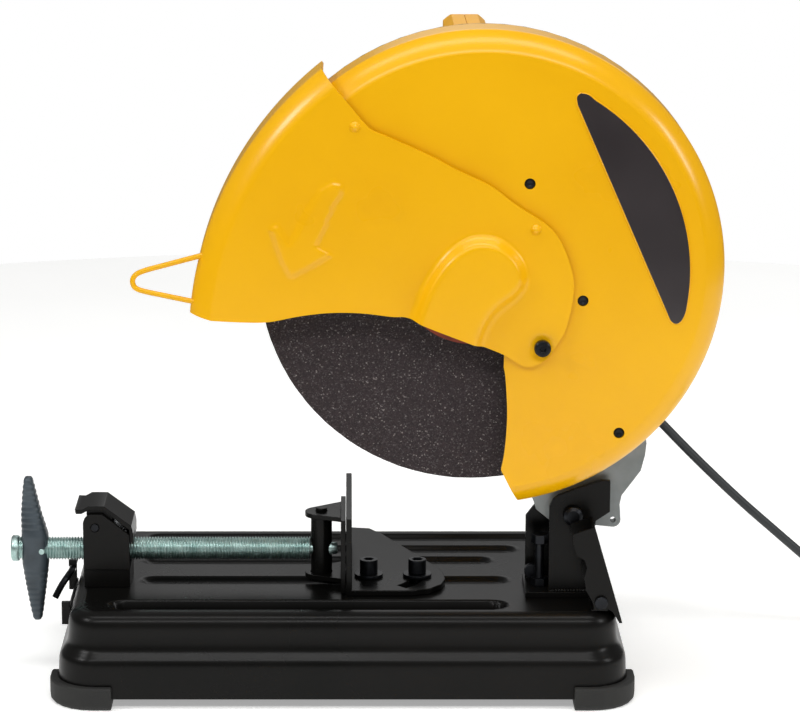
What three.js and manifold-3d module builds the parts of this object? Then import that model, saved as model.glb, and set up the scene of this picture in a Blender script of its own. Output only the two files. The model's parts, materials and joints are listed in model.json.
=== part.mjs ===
// Abrasive chop saw for 355 mm wheels, in millimetres, +Z up.
// +X points from the operator to the rear, +Y from the cutting plane to the motor.
// The origin is the centre of the footprint, on the surface that the feet stand on.
import * as THREE from "three";
import { mergeVertices } from "three/addons/utils/BufferGeometryUtils.js";
import Module from "manifold-3d";

const wasm = await Module();
wasm.setup();

// ---- Driving dimensions ----
const GAP = 0.3; // between pieces that touch
const CUT_Y = -102; // the cutting plane
const BASE = { x: -14.5, halfLength: 243, halfWidth: 142, rim: 9, top: 80, wall: 3 };
const FOOT = { reach: 7.5, height: 20, side: 54 };
const PIVOT = { x: 182.7, z: 153, pinRadius: 7 };
const SPINDLE = { x: -89.2, z: 217, radius: 12.5 }; // from the pivot, arm raised
const WHEEL = { radius: 177.5, thickness: 2.8, flange: 52 };
const GUARD = { x: 9, z: 3, radius: 201, sheet: 2.4, near: -24, far: 30.5, bend: 18 }; // from the spindle
const FRONT_GUARD = { x: 58, z: -58, radius: 294, sheet: 2.4, near: -29, far: 36 }; // its bolt, from the spindle
const MOTOR = { x: 24.2, z: 25.3, radius: 54, wall: 5, start: 84, end: 205 }; // from the spindle
const GEARS = { module: 1.25, wheelTeeth: 47, pinionTeeth: 9 };
const VISE = { y: -30, z: 109, screwRadius: 10, postX: -32.9, bracketX: -239 };
const FENCE = { x: -11.4, sheet: 5, height: 149, boltX: 8.4, boltY: -36, boltSpacing: 42.3 };
const CORD = { radius: 4, coilX: 527, coilY: 32, turns: [40, 48, 56], tail: 64 };

// ---- Solids ----

// The closed solid of a geometry, whichever way its faces were wound.
function toSolid(geometry) {
  const bare = geometry.index ? geometry.toNonIndexed() : geometry.clone();
  bare.deleteAttribute("normal");
  bare.deleteAttribute("uv");
  bare.clearGroups();
  const merged = mergeVertices(bare, 1e-4);
  const corners = merged.index.array;
  const faces = [];
  for (let i = 0; i < corners.length; i += 3) {
    const [a, b, c] = corners.slice(i, i + 3);
    if (a !== b && b !== c && c !== a) faces.push(a, b, c);
  }
  const build = (triVerts) =>
    new wasm.Manifold(
      new wasm.Mesh({ numProp: 3, vertProperties: merged.attributes.position.array, triVerts }),
    );
  const solid = build(new Uint32Array(faces));
  return solid.volume() > 0 ? solid : build(new Uint32Array(faces.reverse()));
}

function toGeometry(solid) {
  const { vertProperties, triVerts } = solid.getMesh();
  const geometry = new THREE.BufferGeometry();
  geometry.setAttribute("position", new THREE.BufferAttribute(new Float32Array(vertProperties), 3));
  geometry.setIndex(new THREE.BufferAttribute(new Uint32Array(triVerts), 1));
  geometry.computeVertexNormals();
  return geometry;
}

const combine = (operation) => (first, ...others) =>
  toGeometry(others.reduce((sum, next) => sum[operation](toSolid(next)), toSolid(first)));
const join = combine("add");
const cut = combine("subtract");
const keep = combine("intersect");

// ---- Shapes ----

const outline = (points) => new THREE.Shape(points.map(([a, b]) => new THREE.Vector2(a, b)));

const circle = (radius, sides, a = 0, b = 0, turn = 0) =>
  outline(
    Array.from({ length: sides }, (_, i) => {
      const angle = turn + (2 * Math.PI * i) / sides;
      return [a + radius * Math.cos(angle), b + radius * Math.sin(angle)];
    }),
  );

const arc = (radius, from, to, steps, a = 0, b = 0) =>
  Array.from({ length: steps + 1 }, (_, i) => {
    const angle = THREE.MathUtils.degToRad(from + ((to - from) * i) / steps);
    return [a + radius * Math.cos(angle), b + radius * Math.sin(angle)];
  });

const extrude = (shape, depth) =>
  new THREE.ExtrudeGeometry(shape, { depth, bevelEnabled: false, curveSegments: 8 });

// Outlines seen from the side (x, z), from above (x, y) and from the front (y, z).
const slabY = (shape, y0, y1) =>
  extrude(shape, y1 - y0)
    .rotateX(Math.PI / 2)
    .translate(0, y1, 0);
const slabZ = (shape, z0, z1) => extrude(shape, z1 - z0).translate(0, 0, z0);
const slabX = (shape, x0, x1) =>
  extrude(shape, x1 - x0)
    .rotateY(Math.PI / 2)
    .rotateX(Math.PI / 2)
    .translate(x0, 0, 0);

const block = (x0, x1, y0, y1, z0, z1) =>
  new THREE.BoxGeometry(x1 - x0, y1 - y0, z1 - z0).translate(
    (x0 + x1) / 2,
    (y0 + y1) / 2,
    (z0 + z1) / 2,
  );

const rodY = (radius, y0, y1, x = 0, z = 0, sides = 24) =>
  new THREE.CylinderGeometry(radius, radius, y1 - y0, sides).translate(x, (y0 + y1) / 2, z);
const rodX = (radius, x0, x1, y = 0, z = 0, sides = 24) =>
  new THREE.CylinderGeometry(radius, radius, x1 - x0, sides)
    .rotateZ(-Math.PI / 2)
    .translate((x0 + x1) / 2, y, z);
const rodZ = (radius, z0, z1, x = 0, y = 0, sides = 24) =>
  new THREE.CylinderGeometry(radius, radius, z1 - z0, sides)
    .rotateX(Math.PI / 2)
    .translate(x, y, (z0 + z1) / 2);

// A profile of [radius, height] turned about the Y axis.
const turned = (profile, sides = 32) =>
  join(
    new THREE.LatheGeometry(
      profile.map(([r, y]) => new THREE.Vector2(r, y)),
      sides,
    ),
  );

const ring = (inner, outer, y0, y1, sides = 24) =>
  turned([[inner, y0], [outer, y0], [outer, y1], [inner, y1], [inner, y0]], sides);

function tube(points, radius, sides, steps) {
  const path = new THREE.CatmullRomCurve3(points.map((p) => new THREE.Vector3(...p)));
  return new THREE.ExtrudeGeometry(circle(radius, sides), { steps, bevelEnabled: false, extrudePath: path });
}

// A closed body through convex rings that have the same number of points.
function loft(rings) {
  const count = rings[0].length;
  const last = (rings.length - 1) * count;
  const faces = [];
  for (let level = 0; level < rings.length - 1; level++) {
    for (let i = 0; i < count; i++) {
      const a = level * count + i;
      const b = level * count + ((i + 1) % count);
      faces.push(a, b, b + count, a, b + count, a + count);
    }
  }
  for (let i = 1; i < count - 1; i++) {
    faces.push(0, i + 1, i, last, last + i, last + i + 1);
  }
  const geometry = new THREE.BufferGeometry();
  geometry.setAttribute("position", new THREE.Float32BufferAttribute(rings.flat(2), 3));
  return geometry.setIndex(faces);
}

// A level rectangle with round corners, as a ring of points for loft.
function roundedRing(x, y, halfX, halfY, radius, z, steps = 6) {
  const centres = [[1, 1], [-1, 1], [-1, -1], [1, -1]];
  return centres.flatMap(([sideX, sideY], quarter) =>
    arc(
      radius,
      quarter * 90,
      quarter * 90 + 90,
      steps,
      x + sideX * (halfX - radius),
      y + sideY * (halfY - radius),
    ).map(([a, b]) => [a, b, z]),
  );
}

// A slot with round ends, seen from above.
const slotShape = (x0, x1, y, halfWidth, steps = 6) =>
  outline([
    ...arc(halfWidth, 90, 270, steps, x0 + halfWidth, y),
    ...arc(halfWidth, -90, 90, steps, x1 - halfWidth, y),
  ]);

const hexagon = (acrossFlats) => circle(acrossFlats / Math.sqrt(3), 6);

// ---- Finishes ----
const finish = (color, roughness, metalness) => () =>
  new THREE.MeshStandardMaterial({ color, roughness, metalness });
const yellowPaint = finish(0xf2b600, 0.32, 0.0);
const blackEnamel = finish(0x1c1c1b, 0.4, 0.1);
const blackRubber = finish(0x2a2a29, 0.85, 0.0);
const blackPlastic = finish(0x202122, 0.55, 0.0);
const greyCrank = finish(0x3c444a, 0.45, 0.3);
const castAluminium = finish(0x8c9090, 0.45, 0.9);
const zincPlate = finish(0xa3bab6, 0.3, 1.0);
const brightSteel = finish(0xb8bcbf, 0.3, 1.0);
const blackSteel = finish(0x26272a, 0.45, 0.8);
const resinAbrasive = finish(0x2a2627, 0.95, 0.0);
const badgeFilm = finish(0x3a3234, 0.3, 0.0);
const copperWinding = finish(0x9a5a34, 0.4, 0.9);

function piece(group, name, geometry, material) {
  const mesh = new THREE.Mesh(geometry, material());
  mesh.name = name;
  group.add(mesh);
}

function groupAt(parent, x, y, z) {
  const group = new THREE.Group();
  group.position.set(x, y, z);
  parent.add(group);
  return group;
}

const machine = new THREE.Group();

// ---- Base ----

// Height, how far the wall stands in from the lower wall, and the corner radius in plan.
const PAN_LEVELS = [[BASE.rim, 0, 34], [38, 1, 34], [53, 8, 30], [70, 9.5, 28], [77.5, 13.5, 24], [80, 20, 18]];
const WHEEL_SLOT = { x0: -213, x1: 124, halfWidth: 12, depth: 16 };
const RIBS = [
  { y: VISE.y, x0: -188, x1: 128 },
  { y: 30, x0: -190, x1: 116 },
  { y: 65, x0: -190, x1: 140 },
  { y: 103, x0: -191, x1: 186 },
];
const RIB = { halfWidth: 9, depth: 4 };

const panBody = (outset, lift) =>
  loft(
    PAN_LEVELS.map(([z, inset, radius], level) =>
      roundedRing(
        BASE.x,
        0,
        BASE.halfLength - inset + outset,
        BASE.halfWidth - inset + outset,
        radius + outset,
        level ? z + lift : z - Math.abs(outset),
      ),
    ),
  );

function basePan() {
  const shell = cut(panBody(0, 0), panBody(-BASE.wall, -BASE.wall));
  const grooves = [
    { y: CUT_Y, ...WHEEL_SLOT },
    ...RIBS.map((rib) => ({ ...rib, ...RIB })),
  ];
  const trough = ({ x0, x1, y, halfWidth, depth }, wall, top) =>
    slabZ(
      slotShape(x0 - wall, x1 + wall, y, halfWidth + wall),
      BASE.top - depth - wall,
      top,
    );
  const lined = join(shell, ...grooves.map((groove) => trough(groove, BASE.wall, BASE.top - 1)));
  const boltHoles = [0, FENCE.boltSpacing].map((along) =>
    rodZ(5.6, 60, BASE.top + 1, FENCE.boltX + along, FENCE.boltY, 16),
  );
  return cut(lined, ...grooves.map((groove) => trough(groove, 0, BASE.top + 1)), ...boltHoles);
}

// A rubber corner that wraps the pan's lower wall and lies under its rim.
function foot(sideX, sideY) {
  const halfX = BASE.halfLength + FOOT.reach;
  const halfY = BASE.halfWidth + FOOT.reach - 0.5;
  const body = loft(
    [[0, 3, 38], [3, 0, 41], [FOOT.height - 2, 0, 41], [FOOT.height, 1.5, 40]].map(([z, inset, radius]) =>
      roundedRing(BASE.x, 0, halfX - inset, halfY - inset, radius - inset, z),
    ),
  );
  const cornerX = BASE.x + sideX * (halfX - FOOT.side / 2);
  const cornerY = sideY * (halfY - FOOT.side / 2);
  const half = FOOT.side / 2;
  const corner = block(
    cornerX - half,
    cornerX + half + 1,
    cornerY - half - 1,
    cornerY + half + 1,
    -1,
    FOOT.height + 1,
  );
  return cut(keep(body, corner), panBody(GAP, 0));
}

const base = groupAt(machine, 0, 0, 0);
piece(base, "base_pan", basePan(), blackEnamel);
piece(base, "foot_front_right", foot(-1, -1), blackRubber);
piece(base, "foot_front_left", foot(-1, 1), blackRubber);
piece(base, "foot_rear_right", foot(1, -1), blackRubber);
piece(base, "foot_rear_left", foot(1, 1), blackRubber);

// Hex key kept on the front end wall, in its clip.
const KEY = { x: -254.5, y0: -4, y1: 76, z: 79, radius: 3 };
const keyPath = [
  [KEY.x, KEY.y1, KEY.z],
  [KEY.x, KEY.y0 + 24, KEY.z],
  [KEY.x, KEY.y0 + 6, KEY.z],
  [KEY.x - 2, KEY.y0, KEY.z - 2],
  [KEY.x - 8, KEY.y0 - 5, KEY.z - 10],
  [KEY.x - 14, KEY.y0 - 8, KEY.z - 21],
];
piece(base, "hex_key", tube(keyPath, KEY.radius, 6, 24), blackSteel);

function keyClip() {
  const wallX = BASE.x - BASE.halfLength + 8;
  const strip = block(wallX - 2.2, wallX - GAP, -70, 16, 56, 68);
  const tabs = [-70, 6].map((y) => block(wallX - 8, wallX - 1, y, y + 5, y < 0 ? 52 : 60, y < 0 ? 72 : 87));
  return cut(join(strip, ...tabs), rodY(KEY.radius + 0.5, 0, 20, KEY.x, KEY.z, 12), panBody(GAP, 0));
}
piece(base, "key_clip", keyClip(), blackEnamel);

// ---- Fence ----

function fence() {
  const foot = outline([
    [FENCE.x, -79], [45, -79], [62, -72], [71, -60], [74.9, -44], [74, -28],
    [71, -14], [56, 20], [21, 96], [10, 114], [FENCE.x, 118],
  ]);
  const bottom = BASE.top + 0.4;
  const plate = slabZ(foot, bottom, bottom + FENCE.sheet);
  const upright = block(FENCE.x, FENCE.x + FENCE.sheet, -79, 73, bottom, FENCE.height);
  const slot = outline([
    ...arc(FENCE.boltSpacing + 5.6, -48, 8, 10, FENCE.boltX, FENCE.boltY),
    ...arc(FENCE.boltSpacing - 5.6, 8, -48, 10, FENCE.boltX, FENCE.boltY),
  ]);
  return cut(
    join(plate, upright),
    rodZ(5.6, 70, 90, FENCE.boltX, FENCE.boltY, 16),
    slabZ(slot, 70, 90),
  );
}

function socketBolt(x) {
  const head = rodZ(7.8, 88.6, 101, x, FENCE.boltY, 24);
  const shank = rodZ(5, 66, 89, x, FENCE.boltY, 16);
  return cut(join(head, shank), slabZ(hexagon(8), 94, 102).translate(x, FENCE.boltY, 0));
}

const washer = (x) =>
  cut(rodZ(12.5, 85.8, 88.3, x, FENCE.boltY, 28), rodZ(5.4, 80, 90, x, FENCE.boltY, 16));

piece(base, "fence", fence(), blackEnamel);
piece(base, "fence_pivot_bolt", socketBolt(FENCE.boltX), blackSteel);
piece(base, "fence_lock_bolt", socketBolt(FENCE.boltX + FENCE.boltSpacing), blackSteel);
piece(base, "fence_pivot_washer", washer(FENCE.boltX), blackSteel);
piece(base, "fence_lock_washer", washer(FENCE.boltX + FENCE.boltSpacing), blackSteel);

// ---- Vise ----

const BRACKET = { length: 40, halfWidth: 25, plate: 4, floor: 14, step: 2, stepTop: 97 };
const LEVER_PIN = { x: VISE.bracketX + 10.3, z: 134.5, radius: 3.5 };

function viseBracket() {
  const x = VISE.bracketX;
  const bottom = BASE.top + GAP;
  const side = outline([
    [x, bottom], [x + BRACKET.length, bottom], [x + BRACKET.length, 127.7],
    [x + 17, 146.2], [x + 5, 146.2], [x + 1.5, 143], [x, 139],
  ]);
  const { halfWidth, plate } = BRACKET;
  const near = slabY(side, VISE.y - halfWidth, VISE.y - halfWidth + plate);
  const far = slabY(side, VISE.y + halfWidth - plate, VISE.y + halfWidth);
  const floor = block(
    x, x + BRACKET.length, VISE.y - halfWidth, VISE.y + halfWidth, bottom, bottom + BRACKET.floor,
  );
  const nearFace = VISE.y - halfWidth;
  const recess = block(
    x - 1, x + BRACKET.length + 1, nearFace - 1, nearFace + BRACKET.step, bottom - 1, BRACKET.stepTop,
  );
  const pinHole = rodY(LEVER_PIN.radius + GAP, VISE.y - 30, VISE.y + 30, LEVER_PIN.x, LEVER_PIN.z, 16);
  return cut(join(near, far, floor), recess, pinHole);
}

// A channel whose web follows the bracket's sloping top edge.
function viseLever() {
  const x = VISE.bracketX;
  const cover = outline([
    [x - 7, 150.6], [x - 1, 150.3], [x + 4.6, 153.4], [x + 18.4, 153.4], [x + 41.8, 135.8], [x + 43.2, 129],
    [x + 43.2, 120], [x + 40.4, 120], [x + 39.8, 132], [x + 17.6, 149.8], [x + 5, 149.8], [x - 1, 146.6], [x - 6, 146.4],
  ]);
  const cheek = outline([
    [x + 3, 149], [x + 17.8, 150.2], [x + 26, 143], [x + 20, 130], [x + 6, 127], [x + 3, 132],
  ]);
  const half = BRACKET.halfWidth;
  const inner = half - BRACKET.plate - 0.4;
  const web = slabY(cover, VISE.y - half + 1.5, VISE.y + half - 1.5);
  const cheeks = [-inner, inner - 3].map((y) => slabY(cheek, VISE.y + y, VISE.y + y + 3));
  const pinHole = rodY(LEVER_PIN.radius + GAP, VISE.y - 30, VISE.y + 30, LEVER_PIN.x, LEVER_PIN.z, 16);
  return cut(join(web, ...cheeks), pinHole);
}

// The upper half of the screw's nut, hung in the lever so that lifting it frees the screw.
function halfNut() {
  const x = LEVER_PIN.x + 0.5;
  const body = block(x, x + 24, VISE.y - 16.8, VISE.y + 16.8, VISE.z + 0.5, 133.5);
  const pinRelief = rodY(LEVER_PIN.radius + 2.5, VISE.y - 20, VISE.y + 20, LEVER_PIN.x, LEVER_PIN.z, 16);
  return cut(body, rodX(VISE.screwRadius + 0.4, x - 1, x + 25, VISE.y, VISE.z, 24), pinRelief);
}

piece(base, "vise_bracket", viseBracket(), blackEnamel);
piece(base, "lever_pin", rodY(LEVER_PIN.radius, VISE.y - 26, VISE.y + 26, LEVER_PIN.x, LEVER_PIN.z, 16), blackSteel);
piece(base, "vise_lever", viseLever(), blackEnamel);
piece(base, "half_nut", halfNut(), brightSteel);

const screwLine = groupAt(machine, 0, VISE.y, VISE.z);
const CRANK = { x: -283, half: 64.3, lean: 0.036 };
const JOURNAL = 5.2;

function viseScrew() {
  const thread = rodX(VISE.screwRadius, -296.8, VISE.postX - 9.6, 0, 0, 32);
  const cap = rodX(11.3, -303.5, -296.8, 0, 0, 24);
  const journal = rodX(JOURNAL, VISE.postX - 10, VISE.postX + 14, 0, 0, 20);
  const retainer = rodX(7, VISE.postX + 10, VISE.postX + 13, 0, 0, 20);
  return cut(join(thread, cap, journal, retainer), rodY(2.9, -20, 20, CRANK.x + 6.6, 0, 12));
}

// A bar that tapers from its hub to both tips, leaning a little towards the tips.
function crankBar() {
  const levels = [
    [-1, 4.2, 5], [-0.97, 4.8, 6], [-0.55, 8.4, 8.5], [-0.2, 12, 11.5], [0, 13.4, 12.5],
    [0.2, 12, 11.5], [0.55, 8.4, 8.5], [0.97, 4.8, 6], [1, 4.2, 5],
  ];
  const sides = 16;
  const rings = levels.map(([share, halfX, halfY]) => {
    const z = share * CRANK.half;
    return Array.from({ length: sides }, (_, i) => {
      const angle = (2 * Math.PI * i) / sides;
      const squared = (value) => Math.sign(value) * Math.abs(value) ** 0.7;
      return [
        CRANK.x - CRANK.lean * z + halfX * squared(Math.cos(angle)),
        halfY * squared(Math.sin(angle)),
        z,
      ];
    });
  });
  return cut(
    loft(rings),
    rodX(VISE.screwRadius + GAP, -310, -250, 0, 0, 32),
    rodY(2.9, -20, 20, CRANK.x + 6.6, 0, 12),
  );
}

function jawPost() {
  const post = rodZ(9.2, BASE.top + 0.6 - VISE.z, 138.5 - VISE.z, VISE.postX, 0, 28);
  const stub = rodZ(5, 138 - VISE.z, 146 - VISE.z, VISE.postX, 0, 16);
  return cut(join(post, stub), rodX(JOURNAL + 0.4, VISE.postX - 20, VISE.postX + 20, 0, 0, 20));
}

function viseJaw() {
  const jawX = FENCE.x - 0.4;
  const sheet = 4.1;
  const plate = block(jawX - sheet, jawX, -46.5, 33, BASE.top + 2 - VISE.z, 147 - VISE.z);
  const ear = outline([
    ...arc(14.3, 118, 242, 10, VISE.postX, 0),
    [jawX - 1, -23.5],
    [jawX - 1, 32],
  ]);
  const topEar = cut(slabZ(ear, 138.9 - VISE.z, 142.9 - VISE.z), rodZ(5.4, 20, 40, VISE.postX, 0, 16));
  const lowEar = cut(slabZ(ear, 84 - VISE.z, 88 - VISE.z), rodZ(9.6, -30, -10, VISE.postX, 0, 28));
  return join(plate, topEar, lowEar);
}

piece(screwLine, "vise_screw", viseScrew(), zincPlate);
piece(screwLine, "crank_bar", crankBar(), greyCrank);
piece(screwLine, "crank_pin", rodY(2.6, -12.2, 12.2, CRANK.x + 6.6, 0, 12), zincPlate);
piece(screwLine, "jaw_post", jawPost(), blackEnamel);
piece(screwLine, "vise_jaw", viseJaw(), blackEnamel);

// ---- Pivot stand, its pin and spring, and the stops; heights are from the pivot ----

const cuttingPlane = groupAt(machine, 0, CUT_Y, 0);
const pivot = groupAt(cuttingPlane, PIVOT.x, 0, PIVOT.z);
const STAND = { bottom: BASE.top + GAP - PIVOT.z, near: 23, far: 62, plate: 5 };
const STOP_BOLT = { x: -27, y: 40, top: -21.5 };
const LOCK_PIN = { x: -33, z: -58, radius: 3.5 };
const DEFLECTOR = { screwX: 22, screwZ: -64, near: -22, far: 12.5, sheet: 2.5 };

function pivotStand() {
  const { bottom, near, far, plate } = STAND;
  const nearCheek = outline([
    [-20, bottom], [18, bottom], [18, -47], [14, -40], [14, -14], [19.2, -10.7], [20, -5.3], [31.8, 2.7],
    [31.8, 30], [24, 30.5], [4, 23.5], [-12, 17.5], [-17, 13.5], [-20, 7],
  ]);
  const farCheek = outline([
    [-38, bottom], [14, bottom], [18, -14], [31, 0], [31, 28], [24, 30], [0, 22], [-20, 10], [-32, -4], [-38, -12],
  ]);
  const solid = join(
    slabY(nearCheek, near, near + plate),
    slabY(farCheek, far, far + plate),
    block(-40, 24, near - 5, far + plate + 5, bottom, bottom + plate),
    block(8, 13, near + plate - 1, far + 1, bottom + 1, -30),
    block(14, 24, -19, near, bottom, bottom + 1.2),
    block(16, 28, -19, 9.5, bottom, -58),
  );
  return cut(
    solid,
    rodY(PIVOT.pinRadius + GAP, 0, 80, 0, 0, 24),
    rodY(LOCK_PIN.radius + GAP, 50, 80, LOCK_PIN.x, LOCK_PIN.z, 16),
    rodY(2.9, -30, 15, DEFLECTOR.screwX, DEFLECTOR.screwZ, 16),
    rodZ(4.3, bottom - 1, -60, STOP_BOLT.x, STOP_BOLT.y, 16),
  );
}

const pivotPin = () =>
  join(
    turned([[0, 15.5], [5.5, 15.5], [8.5, 17.5], [8.5, 22.6], [0, 22.6]], 24),
    rodY(PIVOT.pinRadius, 22, 76, 0, 0, 24),
    slabY(hexagon(21), 67.4, 76),
  );

function stopBolt() {
  const { x, y, top } = STOP_BOLT;
  return join(
    rodZ(4, STAND.bottom + GAP, top - 6, x, y, 16),
    slabZ(hexagon(13), top - 8, top).translate(x, y, 0),
  );
}

const stopNut = () =>
  cut(
    slabZ(hexagon(13), STAND.bottom + STAND.plate + GAP, STAND.bottom + STAND.plate + 7).translate(
      STOP_BOLT.x,
      STOP_BOLT.y,
      0,
    ),
    rodZ(4.3, -80, -50, STOP_BOLT.x, STOP_BOLT.y, 16),
  );

const lockPin = () =>
  join(
    rodY(6.5, 48, 54, LOCK_PIN.x, LOCK_PIN.z, 20),
    rodY(LOCK_PIN.radius, 53, 73, LOCK_PIN.x, LOCK_PIN.z, 16),
  );

// A slanting chute behind the wheel: a rear wall between two side flanges.
function sparkDeflector() {
  const { near, far, sheet } = DEFLECTOR;
  const wall = outline([[15.8, 1.8], [13.4, 1], [37.6, -82.5], [40.4, -82.5]]);
  const flange = outline([
    [-2.6, -4.3], [-2, -14], [1, -23], [7.5, -27], [9.7, -34], [7.3, -42], [9.2, -53.7], [14.4, -63],
    [16.5, -69.5], [27, -69.5], [32, -72.6], [37.8, -82.4], [40.2, -82], [15.8, 1.8],
  ]);
  const screwHole = rodY(2.9, near - 5, far + 5, DEFLECTOR.screwX, DEFLECTOR.screwZ, 16);
  return cut(
    join(slabY(wall, near, far), slabY(flange, near, near + sheet), slabY(flange, far - sheet, far)),
    screwHole,
  );
}

const deflectorScrew = () =>
  join(
    rodY(2.6, DEFLECTOR.near - 1, DEFLECTOR.far + 0.6, DEFLECTOR.screwX, DEFLECTOR.screwZ, 16),
    rodY(5.5, DEFLECTOR.near - 4, DEFLECTOR.near - GAP, DEFLECTOR.screwX, DEFLECTOR.screwZ, 20),
  );

piece(pivot, "pivot_stand", pivotStand(), blackEnamel);
piece(pivot, "pivot_pin", pivotPin(), blackSteel);
piece(pivot, "return_spring", ring(8.6, 16.5, 46.6, 61.6, 24), blackSteel);
piece(pivot, "stop_bolt", stopBolt(), blackSteel);
piece(pivot, "stop_nut", stopNut(), blackSteel);
piece(pivot, "lock_pin", lockPin(), blackSteel);
piece(pivot, "spark_deflector", sparkDeflector(), blackEnamel);
piece(pivot, "deflector_screw", deflectorScrew(), blackSteel);

// ---- Arm with its gear case ----

const GEAR_CASE = { radius: 62, motorRadius: 58, wall: 6, near: 36, far: 78 };

const gearCaseBody = (inset, y0, y1) =>
  join(
    rodY(GEAR_CASE.radius - inset, y0, y1, SPINDLE.x, SPINDLE.z, 40),
    rodY(GEAR_CASE.motorRadius - inset, y0, y1, SPINDLE.x + MOTOR.x, SPINDLE.z + MOTOR.z, 40),
  );

function arm() {
  const web = outline([
    [-8, -17], [-31, 2], [-33, 9], [-62, 80], [-138, 180], [-60, 262], [-4, 240], [42, 150], [60, 88],
    [63, 60], [62, 50], [58.5, 36], [42.5, 14], [41, 6], [42, -7.5],
    ...arc(6.5, 0, -100, 5, 35.5, -7.5),
    [16, -12],
  ]);
  const hub = rodY(19, 29, 46, 0, 0, 32);
  const body = join(slabY(web, 35, 46), hub, gearCaseBody(0, GEAR_CASE.near, GEAR_CASE.far));
  return cut(
    body,
    gearCaseBody(GEAR_CASE.wall, GEAR_CASE.near + GEAR_CASE.wall, GEAR_CASE.far + 1),
    rodY(PIVOT.pinRadius + 0.4, 20, 50, 0, 0, 24),
    rodY(2.6, 30, 50, 35.5, -7.5, 12),
    rodY(15, 30, 50, SPINDLE.x, SPINDLE.z, 24),
  );
}
piece(pivot, "arm", arm(), castAluminium);

// ---- Wheel spindle and what it carries ----

const spindle = groupAt(pivot, SPINDLE.x, 0, SPINDLE.z);
const halfWheel = WHEEL.thickness / 2;

const wheelDisc = () => ring(SPINDLE.radius + GAP, WHEEL.radius, -halfWheel, halfWheel, 96);

const outerFlange = () => {
  const face = -halfWheel - GAP;
  return turned(
    [[SPINDLE.radius + GAP, face], [WHEEL.flange, face], [WHEEL.flange, face - 4], [WHEEL.flange - 6, face - 6.5],
      [26, face - 8], [24, face - 12.6], [5.5, face - 12.6], [5.5, face - 7], [SPINDLE.radius + GAP, face - 7],
      [SPINDLE.radius + GAP, face]],
    48,
  );
};

const innerFlange = () => {
  const face = halfWheel + GAP;
  return turned(
    [[SPINDLE.radius + GAP, face], [WHEEL.flange, face], [WHEEL.flange, face + 4], [26, face + 8],
      [SPINDLE.radius + GAP, face + 8], [SPINDLE.radius + GAP, face]],
    48,
  );
};

const spindleShaft = () => cut(rodY(SPINDLE.radius, -8, 74, 0, 0, 32), rodY(5.4, -9, 16, 0, 0, 16));

const wheelBolt = () =>
  join(
    rodY(5, -20, 12, 0, 0, 16),
    rodY(17, -17.3, -14.6, 0, 0, 28),
    slabY(hexagon(17), -27, -17),
  );

// A toothed wheel with straight-sided teeth, long enough to mesh and thin enough to run free.
function gearShape(teeth, rootRadius, tipRadius, tipHalf, rootHalf, turn) {
  const points = [];
  for (let tooth = 0; tooth < teeth; tooth++) {
    const middle = turn + (2 * Math.PI * tooth) / teeth;
    const corners = [
      [rootRadius, -rootHalf], [tipRadius, -tipHalf], [tipRadius, tipHalf], [rootRadius, rootHalf],
    ];
    for (const [radius, aside] of corners) {
      const angle = middle + aside / radius;
      points.push([radius * Math.cos(angle), radius * Math.sin(angle)]);
    }
  }
  return outline(points);
}

const gearPitch = (teeth) => (GEARS.module * teeth) / 2;
const lineOfCentres = Math.atan2(MOTOR.z, MOTOR.x);

function spindleGear() {
  const pitch = gearPitch(GEARS.wheelTeeth);
  const shape = gearShape(GEARS.wheelTeeth, pitch - 1.1, pitch + 0.7, 0.35, 0.85, lineOfCentres);
  return cut(slabY(shape, 50, 66), rodY(SPINDLE.radius + GAP, 40, 70, 0, 0, 32));
}

function armature() {
  const pitch = gearPitch(GEARS.pinionTeeth);
  const opposite = lineOfCentres + Math.PI + Math.PI / GEARS.pinionTeeth;
  const pinion = gearShape(GEARS.pinionTeeth, pitch - 1.1, pitch + 0.5, 0.3, 0.7, opposite);
  return join(
    slabY(pinion, 48, 68),
    rodY(4.4, 46, 218, 0, 0, 16),
    rodY(45, 88, 94, 0, 0, 32),
    rodY(28.5, 100, 162, 0, 0, 32),
    rodY(14, 174, 192, 0, 0, 24),
  );
}

const motor = groupAt(spindle, MOTOR.x, 0, MOTOR.z);
piece(spindle, "abrasive_wheel", wheelDisc(), resinAbrasive);
piece(spindle, "outer_flange", outerFlange(), blackSteel);
piece(spindle, "inner_flange", innerFlange(), blackSteel);
piece(spindle, "wheel_bolt", wheelBolt(), blackSteel);
piece(spindle, "spindle_shaft", spindleShaft(), brightSteel);
piece(spindle, "spindle_gear", spindleGear(), brightSteel);
piece(spindle, "spindle_bearing", ring(SPINDLE.radius + 0.2, 14.7, 36.5, 42, 24), brightSteel);
piece(motor, "armature", armature(), copperWinding);

// ---- Motor ----

const LOCK_BUTTON = { x: -42, z: 12 }; // from the spindle

function motorHousing() {
  const flange = gearCaseBody(0, GEAR_CASE.far + GAP, MOTOR.start + 1).translate(
    -SPINDLE.x - MOTOR.x,
    0,
    -SPINDLE.z - MOTOR.z,
  );
  const body = join(flange, rodY(MOTOR.radius, MOTOR.start, MOTOR.end, 0, 0, 40));
  return cut(
    body,
    rodY(MOTOR.radius - MOTOR.wall, MOTOR.start + 2, MOTOR.end + 1, 0, 0, 40),
    rodY(7, 70, 95, 0, 0, 20),
    rodY(16, 70, 80.3, -MOTOR.x, -MOTOR.z, 24),
    rodX(8.4, -70, 70, 182, 0, 20),
    rodY(3.4, 70, 90, LOCK_BUTTON.x - MOTOR.x, LOCK_BUTTON.z - MOTOR.z, 16),
  );
}

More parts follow.
